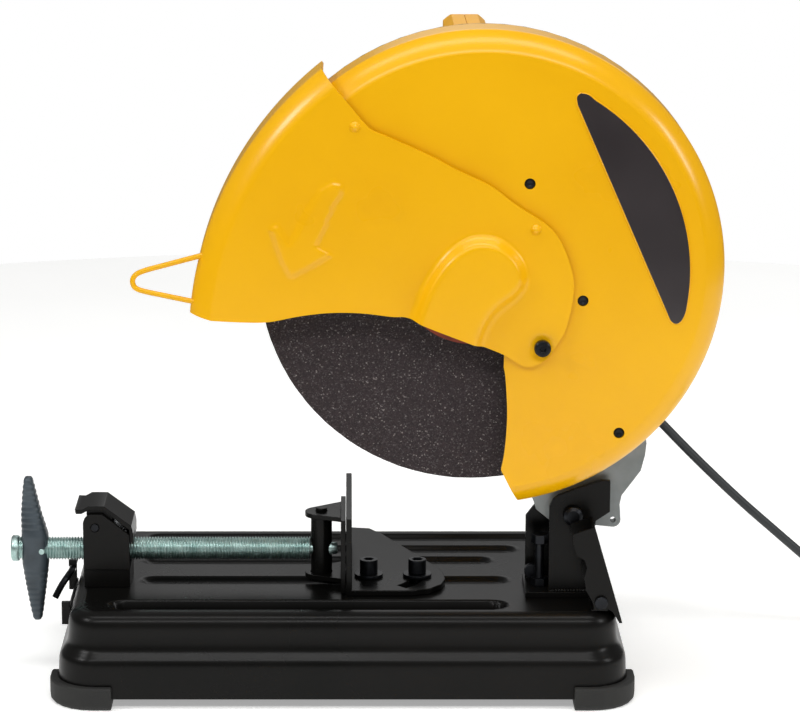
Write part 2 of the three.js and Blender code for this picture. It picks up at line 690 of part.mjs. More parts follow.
// A cup with a bearing seat inside, rounded towards the far end.
function motorEndCap() {
  const start = MOTOR.end + GAP;
  const end = MOTOR.end + 30;
  const outside = MOTOR.radius;
  return turned(
    [[11.4, start + 4], [15, start + 4], [15, end - 5], [outside - 12, end - 5], [outside - 5, end - 11],
      [outside - 5, start], [outside, start], [outside, end - 12], [outside - 4, end - 4], [outside - 13, end],
      [0, end], [0, end - 5], [11.4, end - 5], [11.4, start + 4]],
    40,
  );
}

const brushCap = (side) => {
  const head = rodX(8, 49.4, 57, 182, 0, 20);
  const brush = rodX(4, 14.6, 50, 182, 0, 12);
  return join(head, brush).rotateY(side > 0 ? 0 : Math.PI);
};

// A boot of rubber rings, thinner towards the cord.
const GLAND = { angle: -55, length: 44, y: 190 };
function cordGland() {
  const slope = THREE.MathUtils.degToRad(GLAND.angle);
  const along = MOTOR.radius + GAP;
  return turned([[0, 0], [12, 0], [12, 3], [8.6, 4], [8.2, 14], [5.4, GLAND.length], [0, GLAND.length]], 20)
    .rotateZ(-Math.PI / 2)
    .translate(along, 0, 0)
    .rotateY(-slope)
    .translate(0, GLAND.y, 0);
}

piece(motor, "motor_housing", motorHousing(), yellowPaint);
piece(motor, "motor_end_cap", motorEndCap(), blackPlastic);
piece(motor, "motor_stator", ring(30, 48.6, 100, 160, 32), brightSteel);
piece(motor, "motor_bearing", ring(4.7, 11.1, 210, 218, 20), brightSteel);
piece(motor, "brush_cap_rear", brushCap(1), blackPlastic);
piece(motor, "brush_cap_front", brushCap(-1), blackPlastic);
piece(motor, "cord_gland", cordGland(), blackRubber);

// ---- D-handle: two shells about a seam, with the trigger under the grip ----

const HANDLE = { x: -2.5, halfWidth: 18.2, near: 62, far: 170, bottom: 40, top: 197, bar: 27, leg: 22 };

function handleShell(x0, x1) {
  const { near, far, bottom, top, bar, leg } = HANDLE;
  const shape = outline([
    [near, bottom], [near, top - 26], ...arc(20, 180, 90, 5, near + 20, top - 20),
    ...arc(20, 90, 0, 5, far - 20, top - 20), [far, top - 26], [far, bottom],
    [far - leg, bottom], ...arc(10, 0, 90, 3, far - leg - 10, top - bar - 10),
    ...arc(10, 90, 180, 3, near + leg + 10, top - bar - 10), [near + leg, bottom],
  ]);
  const toMotor = (geometry) => geometry.translate(MOTOR.x, 0, MOTOR.z);
  const chamfer = 7;
  const outerX = x0 < HANDLE.x - 1 ? x0 : x1;
  const inward = x0 < HANDLE.x - 1 ? 1 : -1;
  const bevel = slabY(
    outline([[outerX, top + 1], [outerX, top - chamfer], [outerX + inward * chamfer, top], [outerX + inward * chamfer, top + 1]]),
    near - 1,
    far + 1,
  );
  return cut(
    slabX(shape, x0, x1),
    bevel,
    toMotor(rodY(MOTOR.radius + GAP, 60, 240, 0, 0, 40)),
    gearCaseBody(-GAP, 30, MOTOR.start + 1.3).translate(-SPINDLE.x, 0, -SPINDLE.z),
    block(HANDLE.x - 7, HANDLE.x + 7, 93, 133, top - bar - 1, top - 12),
  );
}

const triggerBlade = () => {
  const bottom = HANDLE.top - HANDLE.bar;
  return join(
    block(HANDLE.x - 6.5, HANDLE.x + 6.5, 94, 132, bottom - 3, bottom + 7),
    slabX(
      outline([[96, bottom - 2], [98, bottom - 9], [104, bottom - 12], [122, bottom - 10], [130, bottom - 2]]),
      HANDLE.x - 6.5,
      HANDLE.x + 6.5,
    ),
  );
};

piece(spindle, "handle_shell_front", handleShell(HANDLE.x - HANDLE.halfWidth, HANDLE.x - GAP / 2), yellowPaint);
piece(spindle, "handle_shell_rear", handleShell(HANDLE.x + GAP / 2, HANDLE.x + HANDLE.halfWidth), yellowPaint);
piece(spindle, "trigger", triggerBlade(), blackPlastic);

piece(
  spindle,
  "spindle_lock_button",
  join(
    rodY(6, 90, 100, LOCK_BUTTON.x, LOCK_BUTTON.z, 20),
    rodY(3, 80.5, 91, LOCK_BUTTON.x, LOCK_BUTTON.z, 12),
  ),
  blackPlastic,
);

// ---- Guards ----

const guard = groupAt(spindle, GUARD.x, 0, GUARD.z);
const arbor = [-GUARD.x, -GUARD.z];

// A round tray of sheet steel with a bent edge: a flat wall and a rim, open behind.
function tray(radius, sheet, near, far, bend, sides) {
  const corner = (shrink) => arc(bend - shrink, 0, -90, 4, radius - bend, near + bend);
  const outside = [[0, far], [radius, far], ...corner(0), [0, near]];
  const inside = [[0, far + 1], [radius - sheet, far + 1], ...corner(sheet), [0, near + sheet]];
  return cut(turned(outside, sides), turned(inside, sides));
}

function fixedGuard() {
  const { radius, sheet, near, far, bend } = GUARD;
  const reach = radius + 40;
  const opening = outline([
    [-reach, -16], [-66, -22], ...arc(60, 198.5, -63.5, 18, ...arbor), [19.1, -90], [20.7, -120],
    [19.1, -149], [16, -167.4], [34, -204], [30, -reach], [-reach, -reach],
  ]);
  const holes = [[37.3, 75.7], [82.4, -22.5], [114.3, -135.4]].map(([x, z]) =>
    rodY(4.6, near - 5, near + 5, x, z, 16),
  );
  return cut(tray(radius, sheet, near, far, bend, 72), slabY(opening, near - 5, far + 5), ...holes);
}

function guardBackPlate() {
  const { radius, sheet, far } = GUARD;
  const reach = radius + 40;
  const opening = outline([
    [-reach, 4], [-80, -16], [-34, -62], [17, -70], [17.6, -154], [33, -204], [30, -reach], [-reach, -reach],
  ]);
  return cut(
    rodY(radius, far + GAP, far + GAP + sheet, 0, 0, 72),
    slabY(opening, far - 5, far + 9),
    rodY(16, far - 5, far + 9, ...arbor, 24),
  );
}

// A lens between the rim's own curve and a straight edge.
const badgeShape = () =>
  outline([
    ...arc(170.5, -10.5, 60.5, 14),
    [78.5, 150.5], [75.5, 148.5], [74.6, 144], [154.5, -38], [157.5, -41.8], [161.5, -41.5], [164.5, -37],
  ]);

piece(guard, "fixed_guard", fixedGuard(), yellowPaint);
piece(guard, "guard_back_plate", guardBackPlate(), blackEnamel);
piece(guard, "guard_badge", slabY(badgeShape(), GUARD.near - 1.2, GUARD.near - GAP), badgeFilm);

const frontGuard = groupAt(spindle, FRONT_GUARD.x, 0, FRONT_GUARD.z);

// From the bolt: the cover's edge, clockwise from its upper tip to its lower front corner.
const FRONT_EDGE = [
  [-184, 231.4], [-179.9, 225.9], [-161.1, 203.9], [-143.2, 182.8], [-126.8, 175.9], [-92.4, 160.2],
  [-71.7, 149.1], [-44, 135.8], [-23.2, 120.1], [1.2, 104.3], [13.5, 90.3], [22.4, 69.1], [25.5, 51.4],
  [23, 30.1], [18.1, 12.3], [13, 4], [6.3, -7.2], [-2.7, -14.1], [-11.8, -16.6], [-19.3, -14.1],
  [-33.5, -5.5], [-59.3, 4.7], [-90, 16.6], [-111.6, 25.9], [-121.5, 25], [-176.1, 29], [-227.4, 20.4],
  [-273.8, 22.5], [-289, 26.7],
];

// Half of the raised clearance over the wheel bolt is straight, the rest an arch.
const BULGE = {
  foot: [[-131, -40], [-109.1, 27.6], [-99.4, 54.6], [-83.8, 78.2], [-65.8, 92.4], [-50.2, 95.8],
    [-34.6, 92.4], [-20.5, 81.5], [-12.9, 68.9], [-11.4, 54.6], [-19, 42], [-33, 31], [-43, 17],
    [-48, 0], [-50, -40]],
  crown: [[-120, -40], [-101, 24.5], [-91.3, 47.2], [-76.6, 68.2], [-66, 79.1], [-56.2, 85],
    [-41, 84.5], [-30, 77], [-24.5, 65], [-24, 54], [-31, 48], [-45, 38], [-54, 22], [-59, 2],
    [-60, -40]],
  height: 9.5,
};

function frontGuardShell() {
  const { radius, sheet, near, far } = FRONT_GUARD;
  const edge = outline([...FRONT_EDGE, [-320, 30], [-320, 280], [-205, 262]]);
  const ringAt = (points, y) => points.map(([x, z]) => [x, y, z]);
  const bulge = (depth) =>
    loft([
      ringAt(BULGE.foot, near + sheet + 0.5 + depth),
      ringAt(BULGE.foot, near + depth),
      ringAt(BULGE.crown, near - BULGE.height + depth),
    ]);
  const skin = tray(radius, sheet, near, far, GUARD.bend, 96);
  const raised = cut(join(skin, bulge(0)), bulge(sheet));
  return cut(keep(raised, slabY(edge, near - 20, far + 5)), rodY(5.4, near - 20, far, 0, 0, 16));
}

const guardBolt = () =>
  join(
    rodY(5, FRONT_GUARD.near - 1, GUARD.near - GAP, 0, 0, 20),
    turned(
      [[0, -36], [5.5, -36], [7, -34.8], [7, FRONT_GUARD.near - GAP], [0, FRONT_GUARD.near - GAP]],
      24,
    ),
  );

// A bent wire to pull the front guard up by.
const pullWire = () =>
  tube(
    [[-286.8, -14, 73.8], [-310, -14, 67.5], [-331.2, -14, 61.6], [-338.6, -14, 57], [-339.6, -14, 50.5],
      [-334, -14, 45.6], [-312, -14, 40.6], [-293.3, -14, 36.6]],
    2.3,
    8,
    28,
  );

piece(frontGuard, "front_guard", frontGuardShell(), yellowPaint);
piece(frontGuard, "guard_bolt", guardBolt(), blackSteel);
piece(frontGuard, "guard_pull_wire", pullWire(), yellowPaint);

// ---- Mains cord: a free fall from the gland to the floor, a coil, and the plug ----

const cordLay = CORD.radius + GAP;
const coilStart = CORD.coilX - 30;
const CORD_ROUTE = [
  [174.3, 88, 314.4], [182.6, 88, 302.6], [201, 88, 277.5], [228, 88, 243], [254, 88, 213], [278.7, 88, 186.6],
  [309.4, 88, 155.2], [346.6, 88, 119.5], [379.3, 88, 90.5], [408, 88, 65.5], [436, 88, 42], [458, 88, 25],
  [474, 88, 13.2], [484, 88, 7.2], [491, 88, 4.6], [coilStart - 1.5, 88, cordLay], [coilStart - GAP, 88, cordLay],
];

function cordCoil() {
  const { radius, turns } = CORD;
  const inner = turns[0] - radius;
  const outer = turns[2] + radius;
  const coil = ring(inner, outer, GAP, 17, 40).rotateX(Math.PI / 2);
  const entry = rodX(radius, -30, 0, turns[2], cordLay, 10);
  const leaving = rodY(radius, -CORD.tail, 0, turns[2], 12.6, 10);
  return join(coil, entry, leaving);
}

// A moulded plug with three blades, lying on the floor.
function plug() {
  const across = 14;
  const body = loft(
    [[0, 6], [14, 8], [26, across], [56, across]].map(([along, half]) =>
      arc(half, 0, 345, 23).map(([a, b]) => [a, -along, b * 0.9]),
    ),
  );
  const blades = [[-6.4, 3.2], [6.4, 3.2]].map(([x, half]) => block(x - 0.8, x + 0.8, -74, -55, 2 - half, 2 + half));
  return join(body, ...blades, rodY(2.4, -76, -55, 0, -6, 12));
}

const floorGroup = groupAt(machine, 0, 0, 0);
piece(floorGroup, "cord_lead", tube(CORD_ROUTE, CORD.radius, 10, 44), blackRubber);
piece(groupAt(floorGroup, CORD.coilX, CORD.coilY, 0), "cord_coil", cordCoil(), blackRubber);
piece(
  groupAt(floorGroup, CORD.coilX + CORD.turns[2], CORD.coilY - CORD.tail - GAP, 12.9),
  "mains_plug",
  plug(),
  blackPlastic,
);

export default machine;
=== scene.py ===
import json
import math

import bmesh
import bpy
import numpy as np
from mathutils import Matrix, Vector


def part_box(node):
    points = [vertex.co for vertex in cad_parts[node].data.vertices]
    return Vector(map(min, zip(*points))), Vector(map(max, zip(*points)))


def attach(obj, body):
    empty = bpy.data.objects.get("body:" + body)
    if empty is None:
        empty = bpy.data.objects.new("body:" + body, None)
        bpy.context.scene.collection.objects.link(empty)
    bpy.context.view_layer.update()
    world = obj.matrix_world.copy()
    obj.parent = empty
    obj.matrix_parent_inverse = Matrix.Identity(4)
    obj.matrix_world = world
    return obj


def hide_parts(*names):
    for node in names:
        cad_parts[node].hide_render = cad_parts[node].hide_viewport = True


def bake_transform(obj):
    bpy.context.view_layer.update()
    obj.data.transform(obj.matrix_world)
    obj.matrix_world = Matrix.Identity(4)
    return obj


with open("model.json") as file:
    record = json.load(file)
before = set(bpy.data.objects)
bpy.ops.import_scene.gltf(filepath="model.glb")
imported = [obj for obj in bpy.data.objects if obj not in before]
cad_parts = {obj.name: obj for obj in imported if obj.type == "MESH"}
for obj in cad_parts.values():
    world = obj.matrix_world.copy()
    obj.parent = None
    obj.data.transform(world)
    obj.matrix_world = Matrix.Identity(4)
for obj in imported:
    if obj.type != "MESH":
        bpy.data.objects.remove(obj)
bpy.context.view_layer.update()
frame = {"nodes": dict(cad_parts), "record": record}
mm = 0.001


def lowHigh(node):
    low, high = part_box(node)
    return np.array(low, float), np.array(high, float)


def middle(node):
    low, high = lowHigh(node)
    return (low + high) / 2


# the machine's own axes, read from the frame
spindleAt = middle("abrasive_wheel")
boltAt = middle("guard_bolt")
pivotAt = middle("return_spring")
screwAt = middle("vise_screw")
motorAt = middle("armature")
plateLow, plateHigh = lowHigh("guard_back_plate")
guardRadius = (plateHigh[0] - plateLow[0]) / 2
guardAt = np.array([(plateHigh[0] + plateLow[0]) / 2, 0, plateHigh[2] - guardRadius])
guardNear = lowHigh("fixed_guard")[0][1]
guardFar = lowHigh("fixed_guard")[1][1]


view = {"place": (-0.008, -2.7164, 0.9065), "tilt": 76.9, "lens": 144, "shiftX": 0.0625}
camera = bpy.data.objects.new("camera", bpy.data.cameras.new("camera"))
bpy.context.scene.collection.objects.link(camera)
camera.location = view["place"]
camera.rotation_euler = (math.radians(view["tilt"]), 0, 0)
camera.data.lens = view["lens"]
camera.data.sensor_width = 36
camera.data.shift_x = view["shiftX"]
camera.data.clip_end = 50
bpy.context.scene.camera = camera


# A mesh from arrays of points and faces, smooth, riding on a body.
def newPiece(name, points, faces, material, body, stands=()):
    mesh = bpy.data.meshes.new(name)
    mesh.from_pydata(points.tolist(), [], faces.tolist() if isinstance(faces, np.ndarray) else faces)
    mesh.update()
    return finishPiece(name, mesh, material, body, stands)


def finishPiece(name, mesh, material, body, stands=()):
    piece = bpy.data.objects.new(name, mesh)
    bpy.context.scene.collection.objects.link(piece)
    mesh.materials.clear()
    mesh.materials.append(material)
    mesh.shade_smooth()
    if body:
        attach(piece, body)
    if stands:
        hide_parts(*stands)
    return piece


# Quads between neighbouring rows of a grid; with closed, the last column meets the first.
def gridFaces(rows, columns, closed=True, start=0):
    row, column = np.meshgrid(np.arange(rows - 1), np.arange(columns if closed else columns - 1), indexing="ij")
    after = (column + 1) % columns
    quads = [row * columns + column, row * columns + after, (row + 1) * columns + after, (row + 1) * columns + column]
    return np.stack(quads, axis=-1).reshape(-1, 4) + start


# A tube: circles of the given radius, one for each point of the path, square to its direction. The
# circles' first axis is the direction crossed with +Z, or with +X where the path climbs straight up.
def tubeGrid(path, radius, sides, turn=0.0):
    path = np.asarray(path, float)
    along = np.gradient(path, axis=0)
    along /= np.linalg.norm(along, axis=1, keepdims=True)
    upright = np.array([1.0, 0, 0]) if np.abs(along[:, 2]).max() > 0.995 else np.array([0, 0, 1.0])
    side = np.cross(along, upright)
    side /= np.linalg.norm(side, axis=1, keepdims=True)
    over = np.cross(side, along)
    angle = turn + 2 * np.pi * np.arange(sides) / sides
    radius = np.broadcast_to(np.asarray(radius, float), (len(path),))[:, None, None]
    ring = np.cos(angle)[None, :, None] * side[:, None] + np.sin(angle)[None, :, None] * over[:, None]
    return path[:, None] + radius * ring


# gridFaces with a flat face over each end.
def cappedFaces(rows, columns, start=0):
    quads = gridFaces(rows, columns, True, start).tolist()
    first = list(range(start, start + columns))
    last = [start + (rows - 1) * columns + i for i in range(columns)]
    return quads + [first[::-1], last]


# Turns a closed mesh's faces outwards, after its doubles are merged.
def facingOut(mesh):
    work = bmesh.new()
    work.from_mesh(mesh)
    bmesh.ops.remove_doubles(work, verts=work.verts, dist=1e-6)
    bmesh.ops.recalc_face_normals(work, faces=work.faces)
    work.to_mesh(mesh)
    work.free()


def tubePiece(name, path, radius, sides, material, body, stands=()):
    rings = tubeGrid(path, radius, sides)
    rows, columns = rings.shape[:2]
    mesh = bpy.data.meshes.new(name)
    mesh.from_pydata(rings.reshape(-1, 3).tolist(), [], cappedFaces(rows, columns))
    facingOut(mesh)
    return finishPiece(name, mesh, material, body, stands)


# Catmull-Rom: each span is the cubic that leaves its ends parallel to the chord of their neighbours.
def smoothLine(points, count):
    points = np.asarray(points, float)
    padded = np.vstack([2 * points[0] - points[1], points, 2 * points[-1] - points[-2]])
    place = np.linspace(0, len(points) - 1, count)
    span = np.minimum(place.astype(int), len(points) - 2)
    t = (place - span)[:, None]
    a, b, c, d = (padded[span + i] for i in range(4))
    return 0.5 * (2 * b + (c - a) * t + (2 * a - 5 * b + 4 * c - d) * t**2 + (3 * b - a - 3 * c + d) * t**3)


# 0 below 0, 1 above 1, and 3x^2 - 2x^3 between.
def ease(x):
    x = np.clip(x, 0, 1)
    return x * x * (3 - 2 * x)


# Distance to the nearest side of a closed outline, positive inside it and negative outside.
def insideDistance(x, z, corners):
    corners = np.asarray(corners, float)
    start, end = corners, np.roll(corners, -1, axis=0)
    side = end - start
    px, pz = x[..., None] - start[:, 0], z[..., None] - start[:, 1]
    share = np.clip((px * side[:, 0] + pz * side[:, 1]) / (side**2).sum(axis=1), 0, 1)
    near = np.hypot(px - share * side[:, 0], pz - share * side[:, 1]).min(axis=-1)
    below, above = start[:, 1] <= z[..., None], end[:, 1] <= z[..., None]
    slope = side[:, 0] / np.where(side[:, 1] == 0, 1e-12, side[:, 1])
    left = x[..., None] < start[:, 0] + slope * (z[..., None] - start[:, 1])
    crossings = ((below != above) & left).sum(axis=-1)
    return np.where(crossings % 2 == 1, near, -near)


# A profile of (radius, distance) in mm turned about an axis through centre.
def roundTurned(name, profile, sides, centre, axis, material, body, stands=()):
    profile = np.asarray(profile, float) * mm
    angle = 2 * np.pi * np.arange(sides) / sides
    across, up = {"Y": ((1, 0, 0), (0, 0, 1)), "X": ((0, 1, 0), (0, 0, 1)), "Z": ((1, 0, 0), (0, 1, 0))}[axis]
    along = np.array({"Y": (0, 1, 0), "X": (1, 0, 0), "Z": (0, 0, 1)}[axis], float)
    ring = np.cos(angle)[:, None] * np.array(across) + np.sin(angle)[:, None] * np.array(up)
    points = centre + profile[:, 0, None, None] * ring + profile[:, 1, None, None] * along
    mesh = bpy.data.meshes.new(name)
    mesh.from_pydata(points.reshape(-1, 3).tolist(), [], gridFaces(len(profile), sides).tolist())
    facingOut(mesh)
    return finishPiece(name, mesh, material, body, stands)


# An outline of (x, z) carried straight from y0 to y1, as a cutting body.
def prism(outline, y0, y1):
    outline = np.asarray(outline, float)
    rows = [np.column_stack([outline[:, 0], np.full(len(outline), y), outline[:, 1]]) for y in (y0, y1)]
    mesh = bpy.data.meshes.new("cutter")
    mesh.from_pydata(np.vstack(rows).tolist(), [], cappedFaces(2, len(outline)))
    facingOut(mesh)
    return mesh


# The mesh with a cutting body taken away, or only what lies in it.
def trimmed(mesh, cutter, operation):
    piece = bpy.data.objects.new("trimming", mesh)
    knife = bpy.data.objects.new("knife", cutter)
    for thing in (piece, knife):
        bpy.context.scene.collection.objects.link(thing)
    boolean = piece.modifiers.new("trim", "BOOLEAN")
    boolean.operation = operation
    boolean.solver = "EXACT"
    boolean.object = knife
    depsgraph = bpy.context.evaluated_depsgraph_get()
    result = bpy.data.meshes.new_from_object(piece.evaluated_get(depsgraph))
    for thing in (piece, knife):
        bpy.data.objects.remove(thing)
    return result


def roundEdges(piece, width, segments=2, angle=35):
    bevel = piece.modifiers.new("edges", "BEVEL")
    bevel.width = width * mm
    bevel.segments = segments
    bevel.limit_method = "ANGLE"
    bevel.angle_limit = math.radians(angle)
    bevel.harden_normals = True
    piece.modifiers.new("shading", "WEIGHTED_NORMAL").keep_sharp = True


# A CAD node's own shape with its flat faces made whole and its edges rounded, in place of the node.
def fromNode(node, material, edge=0.6, segments=2, cutter=None):
    mesh = frame["nodes"][node].data.copy()
    work = bmesh.new()
    work.from_mesh(mesh)
    bmesh.ops.remove_doubles(work, verts=work.verts, dist=2e-6)
    bmesh.ops.dissolve_limit(work, angle_limit=math.radians(0.6), verts=work.verts, edges=work.edges)
    work.to_mesh(mesh)
    work.free()
    if cutter:
        mesh = trimmed(mesh, cutter, "DIFFERENCE")
    body = [name for name, nodes in frame["record"]["behaviour"]["bodies"].items() if node in nodes][0]
    piece = finishPiece(node + "_shape", mesh, material, body, [node])
    mesh.set_sharp_from_angle(angle=math.radians(35))
    if edge:
        roundEdges(piece, edge, segments)
    return piece


# An sRGB hex value as the linear colour that a shader takes.
def linear(hexColour):
    parts = np.array([int(hexColour[i:i + 2], 16) / 255 for i in (1, 3, 5)])
    straight = np.where(parts <= 0.04045, parts / 12.92, ((parts + 0.055) / 1.055) ** 2.4)
    return (*straight.tolist(), 1.0)


# One shader node: settings are its properties or sockets, links are {its socket: another's output}.
def addNode(tree, kind, settings=None, links=None):
    node = tree.nodes.new(kind)
    for key, value in (settings or {}).items():
        if isinstance(key, str) and hasattr(node, key):
            setattr(node, key, value)
        else:
            node.inputs[key].default_value = value
    for key, output in (links or {}).items():
        tree.links.new(output, node.inputs[key])
    return node


# A principled surface; layers(tree, place) returns links for its sockets, made from object
# coordinates.
def newMaterial(name, surface, layers=None):
    material = bpy.data.materials.new(name)
    material.use_nodes = True
    tree = material.node_tree
    tree.nodes.clear()
    place = addNode(tree, "ShaderNodeTexCoord").outputs["Object"]
    links = layers(tree, place) if layers else {}
    shader = addNode(tree, "ShaderNodeBsdfPrincipled", surface, links)
    addNode(tree, "ShaderNodeOutputMaterial", None, {"Surface": shader.outputs["BSDF"]})
    return material


# A texture scale, in patterns for each metre, from the pattern's size in mm.
def perSize(size):
    return 1000 / size


# What most finishes here share: a fine bump, a slow drift of colour and an uneven gloss.
def surfaceLayers(spec):
    def layers(tree, place):
        fine = addNode(tree, "ShaderNodeTexNoise",
                       {"Scale": perSize(spec["bumpSize"]), "Detail": spec.get("bumpDetail", 2.0)}, {"Vector": place})
        bump = addNode(tree, "ShaderNodeBump",
                       {"Strength": spec["bumpStrength"], "Distance": spec["bumpHeight"] * mm},
                       {"Height": fine.outputs["Fac"]})
        slow = addNode(tree, "ShaderNodeTexNoise", {"Scale": perSize(spec["driftSize"]), "Detail": 4.0}, {"Vector": place})
        colour = addNode(tree, "ShaderNodeValToRGB", None, {"Fac": slow.outputs["Fac"]})
        colour.color_ramp.elements[0].position = 0.35
        colour.color_ramp.elements[0].color = linear(spec["dark"])
        colour.color_ramp.elements[1].position = 0.65
        colour.color_ramp.elements[1].color = linear(spec["light"])
        gloss = addNode(tree, "ShaderNodeMapRange",
                        {"From Min": 0.3, "From Max": 0.7, "To Min": spec["smooth"], "To Max": spec["rough"]},
                        {"Value": slow.outputs["Fac"]})
        return {"Base Color": colour.outputs["Color"], "Roughness": gloss.outputs["Result"],
                "Normal": bump.outputs["Normal"]}
    return layers


# powder-coated sheet steel: warm yellow with the faint dimples of orange peel and a clear gloss
yellowCoat = {"bumpSize": 2.2, "bumpStrength": 0.12, "bumpHeight": 0.10, "driftSize": 160,
              "dark": "#EAAC00", "light": "#F0B300", "smooth": 0.26, "rough": 0.33}
# black stoved enamel on pressed steel: satin, with a soft grain that spreads its highlights
blackCoat = {"bumpSize": 1.6, "bumpStrength": 0.20, "bumpHeight": 0.08, "driftSize": 120,
             "dark": "#0A0A09", "light": "#100F0E", "smooth": 0.25, "rough": 0.31}
# moulded rubber: matt, slightly dusty
rubberSkin = {"bumpSize": 0.9, "bumpStrength": 0.35, "bumpHeight": 0.10, "driftSize": 30,
              "dark": "#1E1E1D", "light": "#272725", "smooth": 0.62, "rough": 0.78}
# flexible PVC sheath of a mains lead: smooth, dark and a little waxy
sheathSkin = {"bumpSize": 1.2, "bumpStrength": 0.15, "bumpHeight": 0.05, "driftSize": 25,
              "dark": "#202427", "light": "#2A2E31", "smooth": 0.42, "rough": 0.52}
# glass-filled nylon: black, spark-eroded texture
nylonSkin = {"bumpSize": 0.8, "bumpStrength": 0.40, "bumpHeight": 0.08, "driftSize": 40,
             "dark": "#1A1B1C", "light": "#212324", "smooth": 0.48, "rough": 0.58}
# ABS in the machine's yellow: a spark-eroded moulding that is duller than the paint
yellowNylon = {"bumpSize": 0.9, "bumpStrength": 0.30, "bumpHeight": 0.06, "driftSize": 80,
               "dark": "#E5A200", "light": "#EFAF08", "smooth": 0.40, "rough": 0.48}
# hammered grey enamel on the cast crank
crankCoat = {"bumpSize": 2.6, "bumpStrength": 0.40, "bumpHeight": 0.18, "driftSize": 22,
             "dark": "#353D43", "light": "#454F56", "smooth": 0.34, "rough": 0.46}
# die-cast aluminium: grey, sandy from the mould
castSkin = {"bumpSize": 1.1, "bumpStrength": 0.45, "bumpHeight": 0.15, "driftSize": 35,
            "dark": "#7C8080", "light": "#969A9A", "smooth": 0.42, "rough": 0.55}
# black-oxide steel of bolts and pins: dark with a thin oily shine
oxideSkin = {"bumpSize": 0.7, "bumpStrength": 0.15, "bumpHeight": 0.04, "driftSize": 12,
             "dark": "#1A1B1E", "light": "#26282C", "smooth": 0.28, "rough": 0.38}
# clear-chromated zinc plate: bright, faintly green-blue
zincSkin = {"bumpSize": 0.9, "bumpStrength": 0.05, "bumpHeight": 0.02, "driftSize": 10,
            "dark": "#9DB8B4", "light": "#BFD4D0", "smooth": 0.36, "rough": 0.44}
# ground and turned steel
steelSkin = {"bumpSize": 0.5, "bumpStrength": 0.15, "bumpHeight": 0.03, "driftSize": 14,
             "dark": "#A9ADB0", "light": "#C4C8CA", "smooth": 0.22, "rough": 0.32}
# enamelled copper winding and laminations
windingSkin = {"bumpSize": 0.8, "bumpStrength": 0.6, "bumpHeight": 0.2, "driftSize": 5,
               "dark": "#7A3F20", "light": "#B0683A", "smooth": 0.30, "rough": 0.45}
# brass of the plug's blades
brassSkin = {"bumpSize": 0.6, "bumpStrength": 0.1, "bumpHeight": 0.03, "driftSize": 8,
             "dark": "#B4934A", "light": "#CDAE63", "smooth": 0.22, "rough": 0.32}

yellowPaint = newMaterial("yellowPowderCoat", {"IOR": 1.5, "Specular IOR Level": 0.25, "Coat Weight": 0.25, "Coat Roughness": 0.16},
                          surfaceLayers(yellowCoat))
blackEnamel = newMaterial("blackStovedEnamel", {"IOR": 1.5, "Specular IOR Level": 0.14}, surfaceLayers(blackCoat))
blackRubber = newMaterial("mouldedRubber", {"IOR": 1.52, "Specular IOR Level": 0.35}, surfaceLayers(rubberSkin))
cordSheath = newMaterial("pvcSheath", {"IOR": 1.53}, surfaceLayers(sheathSkin))
blackNylon = newMaterial("blackNylon", {"IOR": 1.53, "Specular IOR Level": 0.35}, surfaceLayers(nylonSkin))
yellowShell = newMaterial("yellowAbs", {"IOR": 1.53, "Specular IOR Level": 0.3}, surfaceLayers(yellowNylon))
crankEnamel = newMaterial("hammeredEnamel", {"IOR": 1.5, "Metallic": 0.25}, surfaceLayers(crankCoat))
castAluminium = newMaterial("castAluminium", {"Metallic": 0.9}, surfaceLayers(castSkin))
blackSteel = newMaterial("blackOxideSteel", {"Metallic": 0.8}, surfaceLayers(oxideSkin))
zincSteel = newMaterial("zincPlate", {"Metallic": 1.0}, surfaceLayers(zincSkin))
brightSteel = newMaterial("turnedSteel", {"Metallic": 1.0}, surfaceLayers(steelSkin))
copperWire = newMaterial("enamelledCopper", {"Metallic": 0.7}, surfaceLayers(windingSkin))
plugBrass = newMaterial("rolledBrass", {"Metallic": 1.0}, surfaceLayers(brassSkin))


# Aluminium oxide grains about a millimetre across in brown-black resin, each a random tone; the few lightest are
# painted glints, a painted highlight standing for facets that catch the light.
def resinGrit(tree, place):
    grain = addNode(tree, "ShaderNodeTexVoronoi", {"Scale": perSize(1.0), "Randomness": 1.0}, {"Vector": place})
    tone = addNode(tree, "ShaderNodeSeparateColor", None, {"Color": grain.outputs["Color"]})
    shade = addNode(tree, "ShaderNodeValToRGB", None, {"Fac": tone.outputs["Red"]})
    ramp = shade.color_ramp
    ramp.elements[0].color = linear("#1A1213")
    ramp.elements[1].position = 0.80
    ramp.elements[1].color = linear("#33282A")
    # the top of the ramp is a painted glint: grains coloured as if their facets caught a lamp
    paintedGlint = ramp.elements.new(0.965)
    paintedGlint.color = linear("#4A4345")
    brightestGlint = ramp.elements.new(1.0)
    brightestGlint.color = linear("#857D7A")
    pits = addNode(tree, "ShaderNodeTexNoise", {"Scale": perSize(1.8), "Detail": 5.0}, {"Vector": place})
    height = addNode(tree, "ShaderNodeMath", {"operation": "ADD"},
                     {0: pits.outputs["Fac"], 1: grain.outputs["Distance"]})
    bump = addNode(tree, "ShaderNodeBump", {"Strength": 0.9, "Distance": 0.5 * mm}, {"Height": height.outputs[0]})
    return {"Base Color": shade.outputs["Color"], "Normal": bump.outputs["Normal"]}


abrasive = newMaterial("resinBondedGrit", {"Roughness": 0.82}, resinGrit)
# reinforced paper washer glued to the wheel: brick red, fibrous and matt
blotterPaper = newMaterial("blotterPaper", {"IOR": 1.45}, surfaceLayers(
    {"bumpSize": 1.4, "bumpStrength": 0.4, "bumpHeight": 0.1, "driftSize": 9,
     "dark": "#6E2A1C", "light": "#8A3A28", "smooth": 0.7, "rough": 0.85}))
